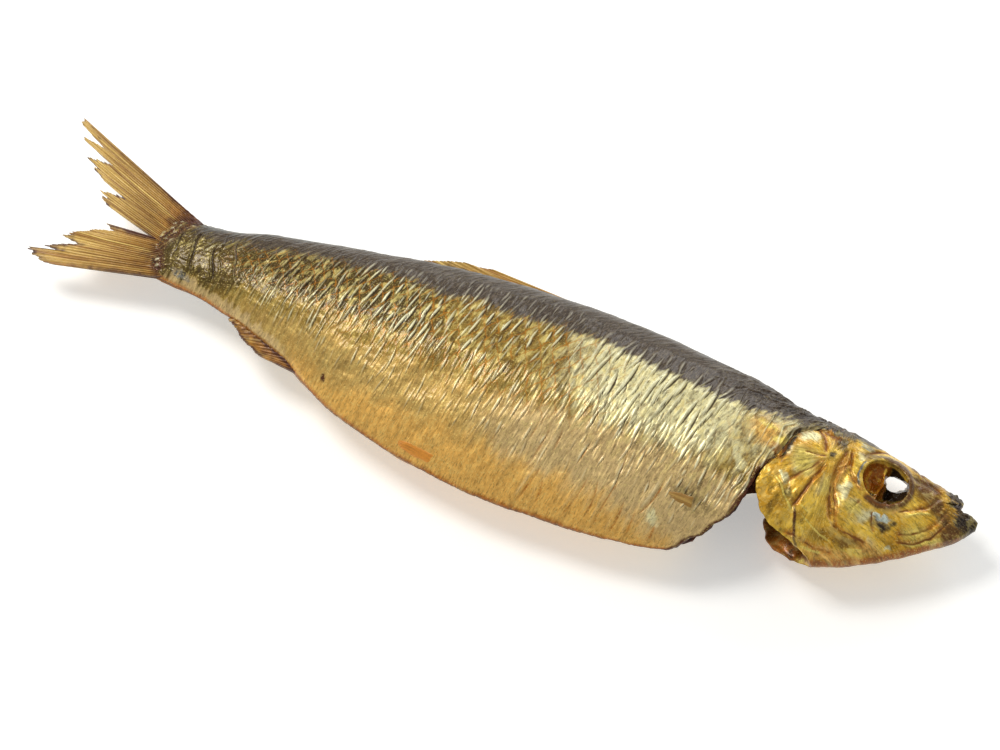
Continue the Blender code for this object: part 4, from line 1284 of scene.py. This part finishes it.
def colour_property(label, about, rgb):
    """A colour that a user can change, from the usual 0 to 255 numbers."""
    return bpy.props.FloatVectorProperty(name=label, description=about, subtype="COLOR", size=3,
                                         min=0.0, max=1.0, default=srgb(*rgb))


def length_property(label, about, millimetres):
    """A length that a user can change, kept in metres."""
    return bpy.props.FloatProperty(name=label, description=about, subtype="DISTANCE",
                                   unit="LENGTH", default=millimetres * MM, min=0.0,
                                   precision=5)


class HerringSizes(bpy.types.PropertyGroup):
    """Sizes of the scales and of the relief on the skin."""

    scale_small: length_property("Scale at the tail", "Length of a scale at the tail root", 2.9)
    scale_large: length_property("Scale at the gills", "Length of a scale behind the head", 4.5)
    scale_rows: bpy.props.IntProperty(name="Scale rows", default=22, min=4, max=60,
                                      description="Rows of scales from back to keel")
    stroke_reach: length_property("Stroke reach", "Half the length of a raised stroke", 3.3)
    stroke_width: length_property("Stroke width", "Half the width of a raised stroke", 0.4)
    stroke_height: length_property("Stroke height", "How far a stroke stands out", 0.3)
    stroke_lean: bpy.props.FloatProperty(name="Stroke lean", default=0.2, min=-1.0, max=1.0,
                                         description="How far the strokes lean forward")


class HerringColours(bpy.types.PropertyGroup):
    """Colours of the skin, flesh and fins."""

    gold: colour_property("Gold", "Ground colour of the flank", (154, 126, 54))
    amber: colour_property("Amber", "Second ground colour of the flank", (145, 115, 47))
    head: colour_property("Head gold", "Ground colour of the head", (244, 202, 74))
    head_amber: colour_property("Head amber", "Second ground colour of the head", (210, 156, 40))
    olive: colour_property("Olive", "Upper flank near the tail", (79, 62, 17))
    beige: colour_property("Beige", "Lower flank", (188, 153, 82))
    rosy: colour_property("Rosy", "Lower flank under the gills", (209, 179, 122))
    pale: colour_property("Pale", "Silvery patches behind the gills", (230, 221, 168))
    warm: colour_property("Warm", "Yellow of the belly", (232, 178, 88))
    orange: colour_property("Orange", "Rims, halos of the creases and thin fins", (175, 102, 23))
    # Bright is also a painted highlight on the shoulder and on parts of the head.
    bright: colour_property("Bright", "Yellow lines on the head", (240, 214, 104))
    brown: colour_property("Brown", "Snout and shaded skin", (105, 68, 32))
    rust: colour_property("Rust", "Dried red-brown edges", (86, 44, 22))
    back: colour_property("Back", "Dark back", (74, 62, 50))
    # Back crest is a painted highlight on the raised strokes and light hairs of the back.
    back_crest: colour_property("Back crest", "Raised strokes on the back", (128, 116, 104))
    blue: colour_property("Blue", "Blue-grey sheen", (106, 110, 108))
    # Silver is a painted silvery reflection on the head.
    silver_sheen: colour_property("Silver", "Silvery green glints on the head", (230, 244, 230))
    # Dark is painted shade in folds, hollows and creases, and also the dark hairs of the back, the
    # lips and the dark root of the fins.
    dark: colour_property("Dark", "Darkest folds", (40, 28, 20))
    line: colour_property("Scale line", "Orange lines round the scales", (176, 112, 22))
    # Crest is a painted highlight on the raised strokes, Groove painted shade beside them, and Crease
    # painted shade in the creases of the head.
    crest: colour_property("Crest", "Raised strokes of the flank", (255, 250, 206))
    groove: colour_property("Groove", "Grooves beside the strokes", (54, 36, 12))
    crease: colour_property("Crease", "Creases of the head", (124, 74, 26))
    fleck: colour_property("Fleck", "Dark fibres", (84, 60, 20))
    # Glint is the bright grain of the mottling and the painted sparkle of the light flecks.
    glint: colour_property("Glint", "Bright grain", (240, 218, 132))
    flesh: colour_property("Flesh", "Cut flesh of the throat", (96, 48, 28))
    flesh_dark: colour_property("Dark flesh", "Dried cut flesh", (44, 22, 16))
    fin: colour_property("Fin", "Fin membrane", (147, 109, 45))
    fin_light: colour_property("Light fin", "Thin fin membrane", (188, 154, 79))
    fin_orange: colour_property("Orange fin", "Thin fins on the belly", (224, 146, 46))
    fin_ray: colour_property("Fin ray", "Rays of the fins", (74, 48, 18))
    fin_bright: colour_property("Bright ray", "Bright rays of the tail", (226, 192, 104))


class HerringStage(bpy.types.PropertyGroup):
    """Floor and light."""

    floor: colour_property("Floor", "Colour of the table", (238, 238, 236))
    glow: bpy.props.FloatProperty(name="Glow", default=0.45, min=0.0, max=2.0,
                                  description="Light that the table gives off")
    sky: bpy.props.FloatProperty(name="Sky", default=0.4, min=0.0, max=5.0,
                                 description="Strength of the even light from all around")
    key: bpy.props.FloatProperty(name="Key light", default=7.6, min=0.0, max=500.0,
                                 subtype="POWER", unit="POWER",
                                 description="Soft light from the upper left")
    rim: bpy.props.FloatProperty(name="Rim light", default=3.0, min=0.0, max=500.0,
                                 subtype="POWER", unit="POWER",
                                 description="Cooler light from behind the back")


# Pieces

def sides(count):
    """1 for the columns of the right flank, 0 for those of the left one."""
    return (np.arange(count) <= RIGHT_POINTS).astype(float)


def built_tube():
    """The tube with its normals and its way round, before any relief."""
    rows, inside, middle = skin_tube()
    return rows, inside, middle, outward(rows), *flow(rows)


def roughened(points, inside, throat_rows_only):
    """How much relief each point takes, less in the throat's rows and none inside the cut, and
    how far torn flesh stands out there."""
    calm = 1 - inside
    calm[throat_rows_only] *= THROAT_CALM
    return calm, 0.5 * rough(131, *np.moveaxis(points, -1, 0) / 3.0) * inside


class HERRING_OT_body(bpy.types.Operator):
    """Builds the body's skin with its scales, and the cut belly cavity behind the throat"""

    bl_idname = "herring.body"
    bl_label = "Body"

    def execute(self, context):
        sizes = context.scene.herring_sizes
        rows, inside, middle, normal, round_it, girth = built_tube()
        rows, inside, normal, round_it, girth = (
            values[:middle + 1] for values in (rows, inside, normal, round_it, girth))
        side = np.broadcast_to(sides(rows.shape[1]), round_it.shape)
        x = rows[..., 0]
        flank = Flank(rows, round_it, girth, side, sizes)
        layers = stroke_layers(flank, sizes)
        calm, torn = roughened(rows, inside, slice(BODY_RINGS - 1, None))
        shaped = rows + normal * (body_rise(flank, layers, sizes) * calm + torn)[..., None]
        ragged = x + 1.5 * rough(132, rows[..., 1] / 2.5, rows[..., 2] / 2.5)
        shaped[..., 2] *= np.sqrt(ease(TAIL_ROOT_X - 1, TAIL_ROOT_X + 9, ragged))
        masks = body_masks(flank, layers)
        cut = inside[-1:] * bell(np.arange(len(rows))[:, None], BODY_RINGS - 1, 5)
        masks["flesh"] = ease(0.1, 0.5, inside)
        raise_mask(masks, "rust", 0.95 * cut)
        scales = np.stack([flank.column - 0.5, flank.row - 0.5, np.zeros_like(x)], -1)
        streak = np.stack([flank.leaned - 0.7 * np.maximum(13 - round_it, 0), round_it,
                           30 * side], -1)
        self.build(place(shaped), masks, scales, streak,
                   smoked_skin(context.scene.herring_colours, "smoked_skin_body", BODY_METAL, True))
        return {"FINISHED"}

    def build(self, points, masks, scales, streak, material):
        """Makes the body as three closed lengths of tube that share their end rings."""
        normals = outward(points)
        cuts = np.linspace(0, len(points) - 1, 4).round().astype(int)
        for name, start, end in zip(("rear", "middle", "front"), cuts[:-1], cuts[1:]):
            part = slice(start, end + 1)
            obj = tube_mesh("body_" + name, points[part], normals[part])
            for mask, values in masks.items():
                set_mask(obj, mask, np.pad(values[part].ravel(), (0, 2)))
            for vector, values in (("scales", scales), ("streak", streak)):
                set_vector(obj, vector, np.pad(values[part].reshape(-1, 3), ((0, 2), (0, 0))))
            ride_in_place(obj, material)


def socket_ball(side):
    """The hollow of an eye: a ball whose radius shrinks where folds and a thin wall stand in
    the socket. Latitude runs from the deep pole to the outer one, longitude right round."""
    latitude = np.linspace(0, np.pi, 72)[1:-1, None]
    longitude = np.linspace(0, 2 * np.pi, 120, endpoint=False)[None]
    dx, dy = np.sin(latitude) * np.cos(longitude), np.sin(latitude) * np.sin(longitude)
    deep = ease(1.0, 0.0, latitude / (np.pi / 2))
    fold = 0.16 * rough(141 + int(side), dx * 4, dy * 3, latitude * 2, octaves=3)
    wall = 0.5 * bell(dx, -0.22 + 0.06 * dy, 0.1) * ease(-0.6, -0.1, dy)
    shallow = 0.42 * ease(-0.1, -0.3, dx)
    radius = 1 - deep * np.clip(fold + wall + shallow, -0.1, 0.75)
    depth = float(through(HALF_WIDTH, np.array(EYE[0]))) - SOCKET_FLOOR
    x = EYE[0] + EYE_RADIUS * radius * dx
    y = EYE[1] + EYE_RADIUS * radius * dy
    z = side * (SOCKET_FLOOR + depth - 1.15 * depth * radius * np.cos(latitude))
    rows = np.stack(np.broadcast_arrays(x, y, z), -1)
    return rows if side > 0 else rows[:, ::-1]


def hole_rod():
    """The ragged hole between the sockets: an uneven oval carried along z, leaning."""
    turn = np.linspace(0, 2 * np.pi, 72, endpoint=False)[None]
    z = np.linspace(-16, 7, 40)[:, None]
    ragged = 1 + 0.12 * np.sin(3 * turn + 0.6) + 0.1 * rough(151, 3 * np.cos(turn) + 9,
                                                             3 * np.sin(turn), z / 2)
    x = EYE_HOLE[0] + EYE_HOLE_SIZE[0] * ragged * np.cos(turn) - z * EYE_HOLE_LEAN[0]
    y = EYE_HOLE[1] + EYE_HOLE_SIZE[1] * ragged * np.sin(turn) - z * EYE_HOLE_LEAN[1]
    return np.stack(np.broadcast_arrays(x, y, z), -1)


def mouth_block():
    """What the open mouth takes away: the gape's outline, finely divided and roughened,
    carried across the head along z."""
    corners = np.array(MOUTH + MOUTH[:1], float)
    run = np.concatenate([[0], np.cumsum(np.linalg.norm(np.diff(corners, axis=0), axis=1))])
    at = np.linspace(0, run[-1], 120, endpoint=False)
    x, y = np.interp(at, run, corners[:, 0])[None], np.interp(at, run, corners[:, 1])[None]
    z = np.linspace(-12, 12, 80)[:, None]
    shake = 0.35 * (1 - ease(134, 138, x))
    x, y, z = np.broadcast_arrays(x, y, z)
    x = x + shake * rough(161, x / 1.3, y / 1.3, z / 1.3)
    y = y + shake * rough(164, x / 1.3, y / 1.3, z / 1.3)
    return np.stack([x, y, z], -1)


class HERRING_OT_head(bpy.types.Operator):
    """Builds the head: gill cover, cheek, jaws, empty eye sockets and the mouth"""

    bl_idname = "herring.head"
    bl_label = "Head"

    def execute(self, context):
        rows, inside, middle, normal, _, _ = built_tube()
        points, inside, normal = rows[middle:], inside[middle:], normal[middle:]
        calm, torn = roughened(points, inside, slice(middle - BODY_RINGS))
        near_snout = ease(SNOUT_X, SNOUT_X - 2, points[..., 0])
        rise = head_height(points) * calm * near_snout
        obj = tube_mesh("head", place(points + normal * (rise + torn)[..., None]))
        carve(obj, [tube_mesh("cutter", place_cutter(hollow)) for hollow in
                    (socket_ball(1), socket_ball(-1), hole_rod(), mouth_block())])
        self.paint(obj)
        look = context.scene.herring_colours
        ride_in_place(obj, smoked_skin(look, "smoked_skin_head", HEAD_METAL, False))
        return {"FINISHED"}

    def paint(self, obj):
        """Masks of the head, and streaks that fan out over the gill cover and run level on the
        cheek, both from the places of its vertices."""
        points = fish_points(obj)
        for name, values in head_masks(points).items():
            set_mask(obj, name, values)
        x, y, z = points.T
        turn, away = fan_place(x, y)
        cheek = ease(95, 99, x)
        streak = np.stack([turn * 11 * (1 - cheek) + cheek * (y + 0.25 * x),
                           away * (1 - cheek) + cheek * x, 9 * np.sign(z)], -1)
        set_vector(obj, "streak", streak)


def place_cutter(points):
    """Fish millimetres to metres like place(), but without the sag and the pressed flank."""
    low, high = CAD_BOX
    shift = np.array([high[0] / MM - SNOUT_X, low[1] / MM - BELLY_LOW_Y, REST_HEIGHT])
    return (points + shift) * MM


def fan_points(fin, across, along):
    """Fish x and y of a fan: a straight ray from the root at each place across, turning evenly
    from the first ray's angle to the last one's, with a frayed tip."""
    (ax, ay), (bx, by) = fin["base"]
    turn = np.radians(fin["turn"][0] + (fin["turn"][1] - fin["turn"][0]) * across)
    knots = np.array(fin["tips"], float)
    ray = across * fin["rays"]
    between = np.abs((ray % 1) - 0.5) * 2
    fray = fin["fray"] * (1.2 * random_of(181, np.floor(ray), np.zeros_like(ray)) + between ** 3)
    length = np.interp(across, knots[:, 0], knots[:, 1]) - fray
    x = ax + (bx - ax) * across - length * along * np.cos(turn)
    y = ay + (by - ay) * across + length * along * np.sin(turn)
    return x, y, length


def fin_masks(fin, q, t, length, side):
    """Colour masks of a fin at each place across it, q, and along it, t: dark rays that waver
    and fade to the tip, some bright ones, burnt tips and stains, a dark root and warmth."""
    cord = q * fin["cords"] + 0.25 * noise(195, q * fin["cords"], t * 3)
    ray = np.floor(cord)
    gap = np.abs(cord - ray - 0.5) * 2
    draw = random_of(192, ray, 0 * ray)
    in_plane = side == 0
    burnt = 0.8 * ease(2.5, 0.3, length * (1 - t)) * ease(0.55, 0.8, draw)
    for across, along, reach_across, reach_along, strength in fin["stains"]:
        oval = bell(q, across, reach_across) * bell(t, along, reach_along)
        burnt = np.maximum(burnt, strength * oval)
    return {
        "ray": ease(0.4, 0.9, gap) * (0.25 + 0.75 * draw) * fin["ray"]
               * (1 - 0.8 * t) * ease(-0.9, 0.3, noise(196, q * 5, t * 2)),
        "bright": np.maximum(ease(0.7, 0.9, random_of(193, ray, 0 * ray)) * ease(0.8, 0.3, gap),
                             0.5 * ease(0.35, 1, t) * in_plane),
        "burnt": burnt,
        "dark": 0.5 * (1 - ease(0.0, 0.06, t)),
        "warmth": np.maximum(fin["warmth"], 0.5 * ease(0.45, 0.05, t) * in_plane),
    }


def make_fin(name, fin, material, side=0, steps=(190, 70)):
    """A fin as a thin closed plate with a raised cord for each ray. side 0 stands in the plane
    of symmetry, and 1 or -1 lies on the right or left flank, sunk in it at the root and edges."""
    spots = np.unique(np.concatenate([np.linspace(0, 1, steps[0]),
                                      [spot for spot, _ in fin["tips"]]]))
    q, t = np.meshgrid(spots, np.linspace(0, 1, steps[1]), indexing="ij")
    x, y, length = fan_points(fin, q, t)
    half = 0.5 * (fin["thick"][0] + (fin["thick"][1] - fin["thick"][0]) * t)
    cords = np.abs((q * fin["cords"]) % 1 - 0.5) * 2
    half = half * (1 - 0.45 * cords ** 2 * ease(0, 0.15, t))
    if side:
        sink = ROOT_SINK * (1 - ease(0, ROOT_SHARE, t))
        pillow = (1 - np.abs(2 * q - 1) ** 4) * (1 - ease(0.7, 1, t))
        z = side * (half_thickness(x, y) + fin["lift"] * (1.7 * pillow - 0.7) - sink - half)
    else:
        half = half + 0.5 * np.abs(rough(194, x / 2, y / 2)) * (1 - ease(0.05, 0.3, t))
        z = 0.9 * t ** 2 * noise(191, q * 5, t * 2)
    obj = plate_mesh(name, place(np.stack([x, y, z + half], -1)),
                     place(np.stack([x, y, z - half], -1)))
    for mask, values in fin_masks(fin, q, t, length, side).items():
        set_mask(obj, mask, np.concatenate([values.ravel(), values.ravel()]))
    streak = np.stack([q * fin["rays"], t * length, 0 * q], -1).reshape(-1, 3)
    set_vector(obj, "streak", np.concatenate([streak, streak]))
    ride_in_place(obj, material)


def fin_look(context):
    """The fins' shared material, built at the first call."""
    if "smoked_fin" not in bpy.data.materials:
        smoked_fin(context.scene.herring_colours)
    return bpy.data.materials["smoked_fin"]


class HERRING_OT_tail(bpy.types.Operator):
    """Builds the two lobes of the frayed tail fin"""

    bl_idname = "herring.tail"
    bl_label = "Tail fin"

    def execute(self, context):
        make_fin("tail_fin_upper", TAIL_UPPER, fin_look(context), steps=(420, 90))
        make_fin("tail_fin_lower", TAIL_LOWER, fin_look(context), steps=(400, 80))
        return {"FINISHED"}


class HERRING_OT_fins(bpy.types.Operator):
    """Builds the fins of the back and belly"""

    bl_idname = "herring.fins"
    bl_label = "Fins"

    def execute(self, context):
        look = fin_look(context)
        make_fin("dorsal_fin", DORSAL, look)
        make_fin("anal_fin", ANAL, look)
        for side, word in ((1, "right"), (-1, "left")):
            make_fin("pelvic_fin_" + word, PELVIC, look, side, (90, 60))
            make_fin("pectoral_fin_" + word, PECTORAL, look, side, (80, 50))
        return {"FINISHED"}


def aim(obj, target):
    """Turns a light or camera at the origin of its object towards a point."""
    away = Vector(target) - obj.location
    obj.rotation_euler = away.to_track_quat("-Z", "Y").to_euler()


def add_light(name, location, size, colour, power):
    """A square soft light aimed at the fish."""
    data = bpy.data.lights.new(name, "AREA")
    data.size = size
    data.energy = power
    data.color = colour
    obj = bpy.data.objects.new(name, data)
    obj.location = location
    bpy.context.scene.collection.objects.link(obj)
    aim(obj, LIGHT_TARGET)


def add_camera():
    """The camera at the photo's angle, on the line through the middle of the fish."""
    low, high = CAD_BOX
    target = Vector((high[0] - SNOUT_X * MM, low[1] - BELLY_LOW_Y * MM, CAMERA_TARGET_Z))
    flat = math.cos(CAMERA_ELEVATION)
    direction = Vector((math.sin(CAMERA_AZIMUTH) * flat, -math.cos(CAMERA_AZIMUTH) * flat,
                        math.sin(CAMERA_ELEVATION)))
    data = bpy.data.cameras.new("camera")
    data.sensor_width = SENSOR_WIDTH
    data.lens = SENSOR_WIDTH * CAMERA_DISTANCE / FRAME_WIDTH
    camera = bpy.data.objects.new("camera", data)
    camera.location = target + CAMERA_DISTANCE * direction
    bpy.context.scene.collection.objects.link(camera)
    aim(camera, target)
    bpy.context.scene.camera = camera


class HERRING_OT_stage(bpy.types.Operator):
    """Builds the pale table, the lights and the camera"""

    bl_idname = "herring.stage"
    bl_label = "Stage"

    def execute(self, context):
        scene = context.scene
        stage = scene.herring_stage
        reach = np.linspace(-TABLE_HALF, TABLE_HALF, 13)
        x, y = np.meshgrid(reach, reach)
        points = np.stack([x, y, np.full_like(x, -TABLE_DROP)], -1)
        floor = new_mesh("table", points.reshape(-1, 3), grid_faces(len(reach), len(reach), False))
        floor.data.materials.append(table_top(stage))
        world = bpy.data.worlds.new("studio")
        world.use_nodes = True
        background = world.node_tree.nodes["Background"]
        background.inputs["Color"].default_value = (1.0, 1.0, 1.0, 1.0)
        background.inputs["Strength"].default_value = stage.sky
        scene.world = world
        for (name, location, size, colour), power in zip(LIGHTS, (stage.key, stage.rim)):
            add_light(name, location, size, colour, power)
        add_camera()
        scene.view_settings.view_transform = "Standard"
        return {"FINISHED"}


class HERRING_PT_panel(bpy.types.Panel):
    """Buttons for every piece of the herring"""

    bl_idname = "HERRING_PT_panel"
    bl_label = "Smoked herring"
    bl_space_type = "VIEW_3D"
    bl_region_type = "UI"
    bl_category = "Herring"

    def draw(self, context):
        scene = context.scene
        for operator in PIECES:
            self.layout.operator(operator.bl_idname)
        for settings in (scene.herring_sizes, scene.herring_colours, scene.herring_stage):
            column = self.layout.column()
            for name in settings.__annotations__:
                column.prop(settings, name)


PIECES = (HERRING_OT_body, HERRING_OT_head, HERRING_OT_tail, HERRING_OT_fins, HERRING_OT_stage)
SETTINGS = (HerringSizes, HerringColours, HerringStage)


def register():
    """Makes the settings, the operators and the panel known to Blender."""
    for made in SETTINGS + PIECES + (HERRING_PT_panel,):
        bpy.utils.register_class(made)
    bpy.types.Scene.herring_sizes = bpy.props.PointerProperty(type=HerringSizes)
    bpy.types.Scene.herring_colours = bpy.props.PointerProperty(type=HerringColours)
    bpy.types.Scene.herring_stage = bpy.props.PointerProperty(type=HerringStage)


def unregister():
    """Takes back all that register() did."""
    del bpy.types.Scene.herring_stage
    del bpy.types.Scene.herring_colours
    del bpy.types.Scene.herring_sizes
    for made in reversed(SETTINGS + PIECES + (HERRING_PT_panel,)):
        bpy.utils.unregister_class(made)


def main():
    """Builds every piece and the stage."""
    register()
    bpy.ops.herring.body()
    bpy.ops.herring.head()
    bpy.ops.herring.tail()
    bpy.ops.herring.fins()
    bpy.ops.herring.stage()


if __name__ == "__main__":
    main()
